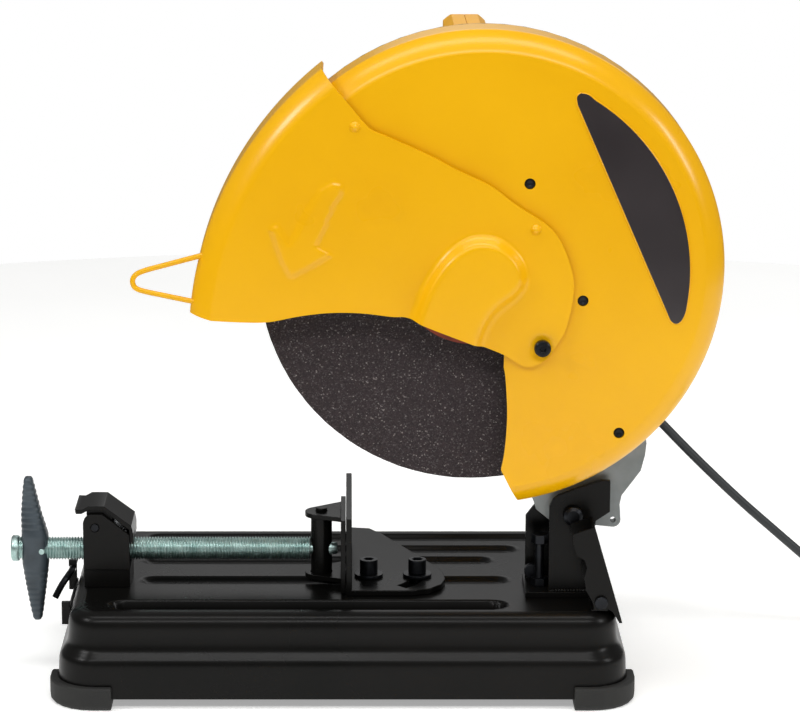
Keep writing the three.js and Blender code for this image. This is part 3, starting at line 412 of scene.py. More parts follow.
# printed polyester film: smooth dark brown-grey under a clear layer
badgeFilm = newMaterial("badgeFilm", {"IOR": 1.5, "Coat Weight": 0.6, "Coat Roughness": 0.08}, surfaceLayers(
    {"bumpSize": 3.0, "bumpStrength": 0.03, "bumpHeight": 0.03, "driftSize": 60,
     "dark": "#241D1F", "light": "#2B2426", "smooth": 0.30, "rough": 0.36}))
# pale matt studio floor, lit a little from within like a light table
floorPaint = newMaterial("paleFloor", {"Emission Color": (1, 1, 1, 1), "Emission Strength": 0.36}, surfaceLayers(
    {"bumpSize": 6.0, "bumpStrength": 0.02, "bumpHeight": 0.05, "driftSize": 500,
     "dark": "#F6F6F4", "light": "#FBFBF9", "smooth": 0.62, "rough": 0.68}))
print("materials made")


cordSizes = {"radius": 4.0, "layer": 8.3, "coilX": 527, "coilY": 32, "outer": 56, "inner": 40, "tail": 64}
# the same route as the CAD lead, in mm: out of the gland, down to the floor and up to the coil
cordRoute = [
    (174.3, 88, 314.4), (182.6, 88, 302.6), (201, 88, 277.5), (228, 88, 243), (254, 88, 213), (278.7, 88, 186.6),
    (309.4, 88, 155.2), (346.6, 88, 119.5), (379.3, 88, 90.5), (408, 88, 65.5), (436, 88, 42), (458, 88, 25),
    (474, 88, 13.2), (484, 88, 7.2), (491, 88, 4.6), (495.5, 88, 4.3),
]


# Turns about the coil's centre: in by one cord a turn on the floor, up inside, and out again on top.
def coilLine(steps):
    turns = np.linspace(0, 5.25, steps)
    s = cordSizes
    radius = np.interp(turns, [0, 2, 3, 5, 5.25], [s["outer"], s["inner"], s["inner"], s["outer"], s["outer"]])
    height = s["radius"] + 0.3 + s["layer"] * ease(turns - 2)
    angle = np.pi / 2 - 2 * np.pi * turns
    return np.column_stack([s["coilX"] + radius * np.cos(angle), s["coilY"] + radius * np.sin(angle), height])


def wholeCord():
    s = cordSizes
    lead = smoothLine(cordRoute, 90)
    straight = np.column_stack([np.linspace(500, s["coilX"] - 4, 6), np.full(6, s["coilY"] + s["outer"]),
                                np.full(6, s["radius"] + 0.3)])
    coil = coilLine(5 * 56 + 14)
    tail = np.column_stack([np.full(8, s["coilX"] + s["outer"]), s["coilY"] - np.linspace(6, s["tail"] + 2, 8),
                            np.full(8, 12.6)])
    return np.vstack([lead, straight, coil, tail]) * mm


cordPath = wholeCord()
cord = tubePiece("mainsCord", cordPath, cordSizes["radius"] * mm, 14, cordSheath, None,
                 ["cord_lead", "cord_coil"])
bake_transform(cord)

plugLow, plugHigh = lowHigh("mains_plug")


# The body is a loft along -Y of squashed circles, with grip ridges; the blades are thin rounded bars.
def plugPieces():
    back = plugHigh[1]
    across = (plugHigh[0] - plugLow[0]) / 2
    centre = (plugHigh + plugLow) / 2
    along = np.linspace(0, 56, 70)
    width = np.interp(along, [0, 3, 14, 26, 33, 54, 56], [5.2, 6.4, 8, 13.2, 14, 14, 12.8]) * mm
    width = width - 0.45 * mm * (np.sin(along * 2 * np.pi / 3.4) > 0.2) * ((along > 2) & (along < 16))
    angle = 2 * np.pi * np.arange(40) / 40
    squash = np.sign(np.cos(angle)) * np.abs(np.cos(angle)) ** 0.8, np.sign(np.sin(angle)) * np.abs(np.sin(angle)) ** 0.8
    x = centre[0] + np.minimum(width, across)[:, None] * squash[0]
    z = centre[2] + 0.9 * np.minimum(width, across)[:, None] * squash[1]
    y = np.broadcast_to((back - along * mm)[:, None], x.shape)
    points = np.stack([x, y, z], axis=-1).reshape(-1, 3)
    mesh = bpy.data.meshes.new("plugBody")
    mesh.from_pydata(points.tolist(), [], cappedFaces(len(along), 40))
    facingOut(mesh)
    body = finishPiece("plugBody", mesh, blackNylon, "base", ["mains_plug"])
    blades = []
    for number, (offset, height, half) in enumerate([(-6.4, 2, 3.2), (6.4, 2, 3.2), (0, -6, 2.3)]):
        thick = 0.8 if number < 2 else 2.3
        corners = np.array([(sx * thick, y, sz * half) for y in (-55.5, -73.8) for sx, sz in
                            ((-1, -1), (1, -1), (1, 1), (-1, 1))]) * mm
        corners += np.array([centre[0] + offset * mm, back, centre[2] + height * mm])
        blade = newPiece(f"plugBlade{number + 1}", corners, cappedFaces(2, 4), plugBrass, "base")
        facingOut(blade.data)
        roundEdges(blade, 0.5 if number < 2 else 1.8, 3)
        blades.append(blade)
    return [body, *blades]


plugParts = plugPieces()

# a wire tie round the coil's two layers
tieAngle = np.linspace(0, 2 * np.pi, 60)
tieCentre = np.array([cordSizes["coilX"] - 48, cordSizes["coilY"], 8.6])
tiePath = tieCentre + np.column_stack([12.2 * np.cos(tieAngle), 0 * tieAngle, 8.1 * np.sin(tieAngle)])
tubePiece("coilTie", tiePath[:-1] * mm, 0.5 * mm, 8, blackNylon, "base")


# A cone turned about the line from the motor's axis to the cord, cut by shallow grooves every 4 mm.
def cordBoot():
    tip = cordPath[0]
    root = np.array([motorAt[0], tip[1], motorAt[2]])
    way = (tip - root) / np.linalg.norm(tip - root)
    along = np.linspace(0, 44, 120)
    radius = np.interp(along, [0, 3, 3.4, 14, 44], [12, 12, 8.7, 8.2, 5.4])
    radius = radius - 0.9 * (np.mod(along, 4.4) > 3.1) * (along > 6) * (along < 41)
    path = root + way * ((54.3 + along) * mm)[:, None]
    return tubePiece("cordBoot", path, radius * mm, 32, blackRubber, "arm", ["cord_gland"])


cordBoot()


pan = {"x": -14.5, "halfX": 243, "halfY": 142, "top": 80, "rim": 9, "wall": 3, "edgeInset": 20, "grid": (208, 180)}
# height, inset from the lower wall and corner radius, from the rim up to the top
panLevels = [
    (9, 0, 34), (10, -0.2, 34), (24, 0.3, 34), (36, 0.8, 34), (41, 2.0, 33), (45, 4.4, 32), (49, 6.8, 31), (53, 8.0, 30),
    (60, 8.8, 29), (68, 9.2, 28.5), (73, 10.4, 27.5), (76.6, 12.9, 25), (78.8, 16.2, 21.5), (80, 20, 18),
]
slots = [
    {"y": -102, "x0": -213, "x1": 124, "half": 12, "depth": 16, "soft": 1.6},
    {"y": -30, "x0": -188, "x1": 128, "half": 9, "depth": 4, "soft": 3.5},
    {"y": 30, "x0": -190, "x1": 116, "half": 9, "depth": 4, "soft": 3.5},
    {"y": 65, "x0": -190, "x1": 140, "half": 9, "depth": 4, "soft": 3.5},
    {"y": 103, "x0": -191, "x1": 186, "half": 9, "depth": 4, "soft": 3.5},
]


# Rounded rectangles: each corner is an arc, and each side runs straight to the next corner.
def roundedRings(x, halfX, halfY, radius, z, straight=40, corner=12):
    columns = []
    signs = [(1, 1), (-1, 1), (-1, -1), (1, -1)]
    for number, (sx, sy) in enumerate(signs):
        angle = np.radians(number * 90 + 90 * np.arange(corner + 1) / corner)
        columns += [(sx, np.cos(a) - sx, sy, np.sin(a) - sy) for a in angle]
        nx, ny = signs[(number + 1) % 4]
        turn = np.radians(number * 90 + 90)
        here = np.array([sx, np.cos(turn) - sx, sy, np.sin(turn) - sy])
        there = np.array([nx, np.cos(turn) - nx, ny, np.sin(turn) - ny])
        share = np.arange(1, straight)[:, None] / straight
        columns += (here + (there - here) * share).tolist()
    a, b, c, d = np.array(columns).T
    halfX, halfY, radius, z = (np.asarray(v, float)[:, None] for v in (halfX, halfY, radius, z))
    return np.stack([x + a * halfX + b * radius, c * halfY + d * radius, z + 0 * a], axis=-1)


# How far the top is pressed down: full inside a slot's outline, easing to none across its shoulder.
def slotDepth(x, y, deeper=0.0):
    depth = np.zeros_like(x)
    for slot in slots:
        left, right = slot["x0"] + slot["half"], slot["x1"] - slot["half"]
        away = np.hypot(x - np.clip(x, left, right), y - slot["y"]) - slot["half"] - deeper
        depth = np.maximum(depth, slot["depth"] * ease(0.5 - away / (2 * slot["soft"])))
    return depth


def basePan():
    levels = smoothLine(panLevels, 70)
    z, inset, radius = levels.T
    outer = roundedRings(pan["x"], pan["halfX"] - inset, pan["halfY"] - inset, radius, z)
    lip = roundedRings(pan["x"], [pan["halfX"] - 24] * 2, [pan["halfY"] - 24] * 2, [15, 15], [79.96, 77])
    within = levels[::-5]
    wall = pan["wall"]
    innerZ = np.minimum(within[:, 0], 77 - 0.01 * np.arange(len(within)))
    innerZ[-1] = pan["rim"]
    inner = roundedRings(pan["x"], pan["halfX"] - within[:, 1] - wall, pan["halfY"] - within[:, 1] - wall,
                         within[:, 2] - wall, innerZ)
    rings = np.vstack([outer, lip, inner])
    rows, columns = rings.shape[:2]
    wallFaces = gridFaces(rows, columns).tolist()
    wallFaces += [[(rows - 1) * columns + i, (rows - 1) * columns + (i + 1) % columns, (i + 1) % columns, i]
                  for i in range(columns)]
    # the top: straight rows across, each as long as the rounded outline is there
    halfX, halfY, corner = pan["halfX"] - pan["edgeInset"], pan["halfY"] - pan["edgeInset"], 18
    rows, columns = pan["grid"]
    v = np.linspace(-halfY, halfY, rows)
    into = np.clip(np.abs(v) - (halfY - corner), 0, corner)
    reach = halfX - corner + np.sqrt(np.maximum(corner**2 - into**2, 0.01))
    u = np.linspace(-1, 1, columns)
    x = pan["x"] + reach[:, None] * u
    y = np.broadcast_to(v[:, None], x.shape)
    sheets = [np.stack([x, y, pan["top"] - slotDepth(x, y)], axis=-1),
              np.stack([x, y, pan["top"] - wall - slotDepth(x, y, wall)], axis=-1)]
    start = rings.size // 3
    count = x.size
    top = gridFaces(rows, columns, False, start)
    under = gridFaces(rows, columns, False, start + count)[:, ::-1]
    edge = np.concatenate([np.arange(columns), np.arange(1, rows) * columns + columns - 1,
                           (rows - 1) * columns + np.arange(columns - 2, -1, -1), np.arange(rows - 2, 0, -1) * columns])
    after = np.roll(edge, -1)
    border = np.column_stack([edge, after, after + count, edge + count]) + start
    points = np.vstack([rings.reshape(-1, 3), sheets[0].reshape(-1, 3), sheets[1].reshape(-1, 3)]) * mm
    mesh = bpy.data.meshes.new("basePan")
    mesh.from_pydata(points.tolist(), [], wallFaces + top.tolist() + under.tolist() + border.tolist())
    facingOut(mesh)
    return finishPiece("basePan", mesh, blackEnamel, "base", ["base_pan"])


basePan()
for corner in ("front_right", "front_left", "rear_right", "rear_left"):
    fromNode(f"foot_{corner}", blackRubber, 2.0, 4)
print("base made")


bendPower = 1.4  # 1 is a quarter circle, 2 a straight chamfer


# A round tray: for each angle, the section runs out along the wall, round the bend and back along the
# rim, then returns inside at the sheet's thickness. relief(x, z) lifts the wall towards the viewer.
def traySurface(radius, sheet, near, far, bend, angles, ringGap, relief=None):
    count = int((radius - bend) / ringGap)
    flat = np.linspace(0, radius - bend, count)
    turn = np.linspace(0, np.pi / 2, 14)[1:]
    rim = np.linspace(near + bend, far, 6)[1:]

    def section(shrink):
        out, back = np.sin(turn) ** bendPower, np.cos(turn) ** bendPower
        r = np.concatenate([flat, radius - bend + (bend - shrink) * out, np.full(5, radius - shrink)])
        y = np.concatenate([np.full(count, near + shrink), near + bend - (bend - shrink) * back, rim])
        return r, y

    outer, inner = section(0), section(sheet)
    r = np.concatenate([outer[0], inner[0][::-1]])[:, None]
    y = np.concatenate([outer[1], inner[1][::-1]])[:, None]
    x, z = r * np.cos(angles), r * np.sin(angles)
    y = np.broadcast_to(y, x.shape).copy()
    if relief is not None:
        y -= relief(x, z) * (r < radius - bend + 0.1)
    return x, y, z


def trayMesh(name, centre, parts):
    x, y, z = parts
    points = np.stack([centre[0] + x * mm, y * mm, centre[2] + z * mm], axis=-1)
    mesh = bpy.data.meshes.new(name)
    mesh.from_pydata(points.reshape(-1, 3).tolist(), [], gridFaces(*x.shape).tolist())
    facingOut(mesh)
    return mesh


def arcPoints(radius, start, end, count, cx=0.0, cz=0.0):
    angle = np.radians(np.linspace(start, end, count))
    return np.column_stack([cx + radius * np.cos(angle), cz + radius * np.sin(angle)])


guardSheet = {"sheet": 2.4, "bend": 18, "holes": [(37.3, 75.7), (82.4, -22.5), (114.3, -135.4)], "holeRadius": 4.6}


def fixedGuard():
    radius = guardRadius / mm
    angles = np.linspace(0, 2 * np.pi, 241)[:-1]
    tray = traySurface(radius, guardSheet["sheet"], guardNear / mm, guardFar / mm, guardSheet["bend"], angles, 60)
    mesh = trayMesh("fixedGuard", guardAt, tray)
    arbor = (spindleAt - guardAt) / mm
    opening = np.vstack([
        [(-260, -16), (-66, -22)], arcPoints(60, 198.5, -63.5, 40, arbor[0], arbor[2]),
        smoothLine([(17.4, -79), (19.1, -90), (20.7, -120), (19.1, -149), (16, -167.4)], 30), [(34, -204)],
        [(38, -230), (30, -260), (-260, -260)],
    ])
    place = guardAt[[0, 2]]
    mesh = trimmed(mesh, prism(place + opening * mm, guardNear - 0.02, guardFar + 0.02), "DIFFERENCE")
    for x, z in guardSheet["holes"]:
        hole = arcPoints(guardSheet["holeRadius"], 0, 348.75, 32, x, z)
        mesh = trimmed(mesh, prism(place + hole * mm, guardNear - 0.02, guardNear + 0.02), "DIFFERENCE")
    piece = finishPiece("fixedGuardSheet", mesh, yellowPaint, "arm", ["fixed_guard"])
    mesh.set_sharp_from_angle(angle=math.radians(35))
    roundEdges(piece, 0.7, 2, 50)
    return piece


frontSizes = {"radius": 294, "near": -29, "far": 36, "sheet": 2.4, "bend": 18, "bulge": 9.5, "bulgeWidth": 10,
              "arrowHeight": 1.6, "arrowWidth": 2.0, "seat": 0.7, "seatRadius": 11, "seatWidth": 2.4,
              "studs": [(-155.5, 184.6), (-6.6, 99.2)]}
frontOutline = [
    (-205, 262), (-184, 231.4), (-176, 221.5), (-161.1, 203.9), (-150, 190.5), (-143.2, 183.3), (-136, 179.6),
    (-126.8, 175.9), (-92.4, 160.2), (-71.7, 149.1), (-44, 135.8), (-23.2, 120.1), (1.2, 104.3), (13.5, 90.3),
    (22.4, 69.1), (25.5, 51.4), (23, 30.1), (18.1, 12.3), (13, 4), (6.3, -7.2), (-2.7, -14.1), (-11.8, -16.6),
    (-19.3, -14.1), (-33.5, -5.5), (-59.3, 4.7), (-90, 16.6), (-111.6, 25.2), (-125, 26), (-150, 29), (-176.1, 29.3),
    (-201, 26.5), (-227.4, 21.5), (-250, 21.3), (-273.8, 22.5), (-320, 32),
]
bulgeOutline = [
    (-131, -40), (-109.1, 27.6), (-99.4, 54.6), (-83.8, 78.2), (-65.8, 92.4), (-50.2, 95.8), (-34.6, 92.4),
    (-20.5, 81.5), (-12.9, 68.9), (-11.4, 54.6), (-19, 42), (-33, 31), (-43, 17), (-48, 0), (-50, -40),
]
arrowOutline = [
    (-174.4, 138), (-184.5, 131.6), (-194.5, 115.1), (-204.7, 94.7), (-210.2, 86.5), (-213, 92.1), (-219.7, 103.1),
    (-224.7, 99.8), (-221, 87), (-215.3, 71.6), (-208.6, 59.2), (-192, 68.2), (-175.8, 78), (-187.6, 85.2), (-181.5, 98.5),
    (-174.4, 116.4), (-165.7, 131.6), (-166.4, 136.7),
]


# Heights added to the flat cover: the bulge over the wheel bolt eases up over a band inside its outline,
# the arrow eases up across its own outline, and a round seat under the bolt is pressed the other way.
def frontRelief(x, z):
    s = frontSizes
    bulge = smoothLine(bulgeOutline, 60)
    height = s["bulge"] * ease(insideDistance(x, z, bulge) / s["bulgeWidth"])
    height = height + s["arrowHeight"] * ease(0.5 + insideDistance(x, z, arrowOutline) / s["arrowWidth"])
    return height - s["seat"] * ease((s["seatRadius"] - np.hypot(x, z)) / s["seatWidth"])


def frontGuard():
    s = frontSizes
    dense = np.linspace(math.radians(100), math.radians(192), 250)
    sparse = np.linspace(math.radians(192), math.radians(460), 90)[1:-1]
    tray = traySurface(s["radius"], s["sheet"], spindleAt[1] / mm + s["near"], spindleAt[1] / mm + s["far"],
                       s["bend"], np.concatenate([dense, sparse]), 2.0, frontRelief)
    mesh = trayMesh("frontGuard", boltAt, tray)
    edge = np.vstack([smoothLine(frontOutline[1:-1], 150), [frontOutline[-1]], [(-320, 280)], [frontOutline[0]]])
    cutter = prism(boltAt[[0, 2]] + edge * mm, boltAt[1] - 0.05, boltAt[1] + 0.12)
    mesh = trimmed(mesh, cutter, "INTERSECT")
    piece = finishPiece("frontGuardSheet", mesh, yellowPaint, "front_guard", ["front_guard"])
    mesh.set_sharp_from_angle(angle=math.radians(40))
    return piece


fixedGuard()
frontGuard()
for number, (x, z) in enumerate(guardSheet["holes"]):
    place = np.array([guardAt[0] + x * mm, guardNear, guardAt[2] + z * mm])
    roundTurned(f"guardScrew{number + 1}", [(0, 0.9), (1.9, 0.9), (2.2, 0.5), (3.6, 0.5), (4.1, 1.0), (4.1, 4), (0, 4)],
                28, place, "Y", blackSteel, "arm")
for number, (x, z) in enumerate(frontSizes["studs"]):
    place = np.array([boltAt[0] + x * mm, spindleAt[1] + (frontSizes["near"] + 0.6) * mm, boltAt[2] + z * mm])
    roundTurned(f"guardStud{number + 1}", [(0, -4.2), (1.6, -4.0), (2.5, -3.2), (2.9, -2), (3.3, -1.2), (4.6, -0.6), (4.6, 0.4), (0, 0.4)],
                28, place, "Y", yellowPaint, "front_guard")
wire = [(-280.5, 75.4), (-310, 67.5), (-331.2, 61.6), (-338.6, 57), (-339.6, 50.5), (-334, 45.6), (-312, 40.6),
        (-284.5, 34.8)]
wirePath = np.array([(boltAt[0] / mm + x, spindleAt[1] / mm - 14, boltAt[2] / mm + z) for x, z in wire])
tubePiece("pullWire", smoothLine(wirePath, 90) * mm, 2.25 * mm, 14, yellowPaint, "front_guard",
          ["guard_pull_wire"])
fromNode("guard_back_plate", blackEnamel, 0.5)


# A lens between an arc round the guard's centre and a straight side, carried through its thickness; the frame
# is the guard's own metal turned up round it.
def guardBadge():
    arc = arcPoints(170.5, -9, 58, 60)
    tip = smoothLine([arc[-1], (84, 149.6), (77.6, 150.6), (74.6, 147.5), (75.4, 141)], 24)[1:]
    foot = smoothLine([(152, -32), (155.2, -39), (159.6, -41.8), (164, -39.5), (167.2, -33), arc[0]], 24)[:-1]
    outline = np.vstack([foot, arc, tip])
    place = guardAt[[0, 2]]
    mesh = prism(place + outline * mm, guardNear - 1.1 * mm, guardNear - 0.1 * mm)
    badge = finishPiece("badgePlate", mesh, badgeFilm, "arm", ["guard_badge"])
    mesh.set_sharp_from_angle(angle=math.radians(35))
    roundEdges(badge, 0.35)
    line = np.vstack([outline, outline[:1]])
    ring = np.column_stack([guardAt[0] + line[:, 0] * mm, np.full(len(line), guardNear - 0.1 * mm),
                            guardAt[2] + line[:, 1] * mm])
    tubePiece("badgeFrame", ring, 0.9 * mm, 8, yellowPaint, "arm")


guardBadge()
boltLow = lowHigh("guard_bolt")[0]
socket = arcPoints(2.9, 0, 300, 6) * mm + boltAt[[0, 2]]
fromNode("guard_bolt", blackSteel, 0.5, 3, prism(socket, boltLow[1] - 1 * mm, boltLow[1] + 3 * mm))
print("guards made")


# A flat ring whose outer edge wanders by a tenth of a millimetre, as a moulded wheel's does.
def wheelDisc():
    angle = 2 * np.pi * np.arange(360) / 360
    rough = 0.10 * np.sin(37 * angle) * np.sin(11 * angle + 1) + 0.06 * np.sin(91 * angle)
    rows = [(12.8, -1.4), (60, -1.4), (120, -1.4), (176.9, -1.4), (177.4, -0.9), (177.4, 0.9), (176.9, 1.4), (120, 1.4),
            (60, 1.4), (12.8, 1.4), (12.8, -1.4)]
    r = np.array([row[0] for row in rows])[:, None] + rough * np.array([row[0] > 170 for row in rows])[:, None]
    y = np.array([row[1] for row in rows])[:, None] + 0 * angle
    points = np.stack([spindleAt[0] + r * np.cos(angle) * mm, spindleAt[1] + y * mm,
                       spindleAt[2] + r * np.sin(angle) * mm], axis=-1)
    mesh = bpy.data.meshes.new("abrasiveDisc")
    mesh.from_pydata(points.reshape(-1, 3).tolist(), [], gridFaces(len(rows), 360).tolist())
    facingOut(mesh)
    piece = finishPiece("abrasiveDisc", mesh, abrasive, "spindle", ["abrasive_wheel"])
    mesh.set_sharp_from_angle(angle=math.radians(30))
    return piece


wheelDisc()
for name, side in (("blotterNear", -1), ("blotterFar", 1)):
    roundTurned(name, [(13, side * 1.42), (61, side * 1.42), (61, side * 1.62), (13, side * 1.62), (13, side * 1.42)],
                96, spindleAt, "Y", blotterPaper, "spindle")
for node, material, edge in (("outer_flange", blackSteel, 0.5), ("inner_flange", blackSteel, 0.5),
                             ("wheel_bolt", blackSteel, 0.6), ("spindle_shaft", brightSteel, 0.5),
                             ("spindle_gear", brightSteel, 0), ("spindle_bearing", brightSteel, 0.3),
                             ("armature", copperWire, 0), ("motor_stator", brightSteel, 0.5),
                             ("motor_bearing", brightSteel, 0.3)):
    fromNode(node, material, edge)
print("wheel made")


threadSizes = {"outer": 10.0, "depth": 1.35, "pitch": 2.5, "cap": 11.3, "journal": 5.2}


# Radius by place along X and angle: a triangle wave of one pitch a turn, with crest and root a little
# flat; a plain cap at the crank's end and a plain journal through the post.
def viseScrew():
    low, high = lowHigh("vise_screw")
    s = threadSizes
    start, end = low[0] / mm, high[0] / mm
    threadEnd = lowHigh("jaw_post")[0][0] / mm - 0.4
    capEnd = start + 6.7
    x = np.concatenate([[start, start + 0.01, start + 1.2, capEnd - 0.8, capEnd, capEnd],
                        np.arange(capEnd + 0.01, threadEnd, s["pitch"] / 8),
                        [threadEnd, threadEnd, threadEnd + 9, end - 7.5, end - 7.5, end - 5, end - 5, end - 1, end, end]])
    plain = np.concatenate([[0, s["cap"] - 1.2, s["cap"], s["cap"], s["cap"] - 0.8, 9],
                            np.zeros(len(x) - 16),
                            [8.6, s["journal"], s["journal"], s["journal"], 7, 7, s["journal"], s["journal"],
                             s["journal"] - 0.8, 0]])
    angle = 2 * np.pi * np.arange(36) / 36
    turns = x[:, None] / s["pitch"] + angle / (2 * np.pi)
    wave = np.clip(2.6 * (np.abs(2 * (turns % 1) - 1) - 0.5) + 0.5, 0, 1)
    radius = np.where(plain[:, None] > 0, plain[:, None], s["outer"] - s["depth"] * (1 - wave))
    radius[[0, -1]] = 0
    points = np.stack([x[:, None] + 0 * angle, screwAt[1] / mm + radius * np.cos(angle),
                       screwAt[2] / mm + radius * np.sin(angle)], axis=-1) * mm
    mesh = bpy.data.meshes.new("viseScrew")
    mesh.from_pydata(points.reshape(-1, 3).tolist(), [], gridFaces(len(x), 36).tolist())
    facingOut(mesh)
    piece = finishPiece("viseScrewThread", mesh, zincSteel, "screw", ["vise_screw"])
    mesh.set_sharp_from_angle(angle=math.radians(50))
    return piece


crankSizes = {
    "half": 64.3, "x": -283, "ridgePitch": 5.0, "ridge": 0.28,
    "share": [-1, -0.97, -0.8, -0.5, -0.2, 0.2, 0.5, 0.8, 0.97, 1],  # places along the bar, from its lower tip
    "centre": [0.9, 0.9, 0.7, 0.4, 0.2, 0.0, -2.8, -4.2, -4.8, -4.8],
    "halfX": [3.0, 4.4, 6.4, 9.6, 12.4, 12.4, 9.4, 6.2, 4.2, 3.0],
    "halfY": [4.2, 5.8, 7.4, 9.2, 12.2, 12.2, 9.2, 7.4, 5.8, 4.2],
}


# Sections along the bar are squared circles. Their half widths and centres follow the tables from tip to tip,
# and both grips carry ridges.
def crankBar():
    s = crankSizes
    share = np.sin(np.linspace(-np.pi / 2, np.pi / 2, 190))
    reach = np.abs(share)
    halfX, halfY, centre = (np.interp(share, s["share"], s[key]) for key in ("halfX", "halfY", "centre"))
    ridge = s["ridge"] * np.sin(reach * s["half"] * 2 * np.pi / s["ridgePitch"]) * ((reach > 0.28) & (reach < 0.93))
    angle = 2 * np.pi * np.arange(56) / 56
    power = 0.62
    cx = np.sign(np.cos(angle)) * np.abs(np.cos(angle)) ** power
    sy = np.sign(np.sin(angle)) * np.abs(np.sin(angle)) ** power
    z = share * s["half"]
    x = s["x"] + centre[:, None] + (halfX + ridge)[:, None] * cx * 0.93
    y = screwAt[1] / mm + (halfY + ridge)[:, None] * sy * 0.97
    points = np.stack([x, y, screwAt[2] / mm + z[:, None] + 0 * angle], axis=-1) * mm
    mesh = bpy.data.meshes.new("crankBar")
    mesh.from_pydata(points.reshape(-1, 3).tolist(), [], cappedFaces(len(z), 56))
    facingOut(mesh)
    return finishPiece("crankCasting", mesh, crankEnamel, "screw", ["crank_bar"])


viseScrew()
crankBar()
for node, material, edge in (("crank_pin", zincSteel, 0.4), ("half_nut", brightSteel, 0.6), ("lever_pin", blackSteel, 0.5),
                             ("vise_bracket", blackEnamel, 0.7), ("vise_lever", blackEnamel, 0.5),
                             ("jaw_post", blackEnamel, 0.7), ("vise_jaw", blackEnamel, 0.7), ("fence", blackEnamel, 0.9),
                             ("fence_pivot_bolt", blackSteel, 0.7), ("fence_lock_bolt", blackSteel, 0.7),
                             ("fence_pivot_washer", blackSteel, 0.3), ("fence_lock_washer", blackSteel, 0.3),
                             ("hex_key", blackSteel, 0.4), ("key_clip", blackEnamel, 0.4)):
    fromNode(node, material, edge)
print("vise made")


# A close helix of 3.2 mm wire about the pivot.
def returnSpring():
    low, high = lowHigh("return_spring")
    wire, radius = 1.6 * mm, (high[0] - low[0]) / 2 - 1.7 * mm
    turns = np.linspace(0, 3.75, 260)
    angle = 2 * np.pi * turns
    y = np.interp(turns, [0, 3.75], [low[1] + wire, high[1] - wire])
    helix = np.column_stack([pivotAt[0] + radius * np.cos(angle), y, pivotAt[2] + radius * np.sin(angle)])
    rings = []
    side = np.column_stack([np.cos(angle), 0 * angle, np.sin(angle)])
    around = 2 * np.pi * np.arange(12) / 12
    ring = np.cos(around)[None, :, None] * side[:, None] + np.sin(around)[None, :, None] * np.array([0, 1.0, 0])
    rings = helix[:, None] + wire * ring
    mesh = bpy.data.meshes.new("returnSpring")
    mesh.from_pydata(rings.reshape(-1, 3).tolist(), [], cappedFaces(len(helix), 12))
    facingOut(mesh)
    return finishPiece("returnSpringCoil", mesh, blackSteel, "base", ["return_spring"])


returnSpring()
for node, material, edge in (("pivot_stand", blackEnamel, 0.8), ("pivot_pin", blackSteel, 0.6), ("stop_bolt", blackSteel, 0.5),
                             ("stop_nut", blackSteel, 0.5), ("lock_pin", blackSteel, 0.6),
                             ("spark_deflector", blackEnamel, 0.5), ("deflector_screw", blackSteel, 0.5),
                             ("arm", castAluminium, 1.6)):
    fromNode(node, material, edge)


# A ridge along a line, its width rippling every 2.6 mm as the weld was laid.
def weldBead(name, points):
    line = smoothLine(np.array(points) * mm, 120)
    place = np.concatenate([[0], np.linalg.norm(np.diff(line, axis=0), axis=1).cumsum()]) / mm
    radius = (1.9 + 0.35 * np.sin(place * 2 * np.pi / 2.6)) * np.minimum(1, 0.3 + np.minimum(place, place[-1] - place) / 4)
    return tubePiece(name, line, radius * mm, 12, blackEnamel, "base")


standFoot = lowHigh("pivot_stand")[0][2] / mm + 5
pivotX, plane = pivotAt[0] / mm, spindleAt[1] / mm
weldBead("weldNear", [(pivotX - 19, plane + 22.6, standFoot), (pivotX, plane + 22.4, standFoot + 0.3),
                      (pivotX + 17, plane + 22.6, standFoot)])
weldBead("weldFar", [(pivotX - 37, plane + 61.6, standFoot), (pivotX - 12, plane + 61.4, standFoot + 0.3),
                     (pivotX + 13, plane + 61.6, standFoot)])
print("pivot made")


# Upright bars spaced evenly round the end cap, and short ones round its face, as one cutting body.
def ventCutter():
    low, high = lowHigh("motor_end_cap")
    bars = []
    for number in range(30):
        angle = 2 * np.pi * number / 30
        bars.append((angle, 46, 58, low[1] / mm + 4, high[1] / mm - 15, 1.6))
    for number in range(16):
        angle = 2 * np.pi * (number + 0.5) / 16
        bars.append((angle, 20, 34, high[1] / mm - 8, high[1] / mm + 4, 1.7))
    points, faces = [], []
    for angle, inner, outer, y0, y1, half in bars:
        way, side = np.array([np.cos(angle), np.sin(angle)]), np.array([-np.sin(angle), np.cos(angle)])
        corners = [way * r + side * h for r, h in ((inner, -half), (outer, -half), (outer, half), (inner, half))]
        start = len(points)
        points += [(motorAt[0] + c[0] * mm, y * mm, motorAt[2] + c[1] * mm) for y in (y0, y1) for c in corners]
        faces += cappedFaces(2, 4, start)
    mesh = bpy.data.meshes.new("vents")
    mesh.from_pydata(points, [], faces)
    facingOut(mesh)
    return mesh


fromNode("motor_end_cap", blackNylon, 0.4, 2, ventCutter())
for node, material, edge in (("motor_housing", yellowPaint, 1.2), ("brush_cap_rear", blackNylon, 0.6),
                             ("brush_cap_front", blackNylon, 0.6), ("spindle_lock_button", blackNylon, 1.0),
                             ("trigger", blackNylon, 1.4)):
    fromNode(node, material, edge, 3)
for shell in ("handle_shell_front", "handle_shell_rear"):
    fromNode(shell, yellowShell, 4.0, 5)


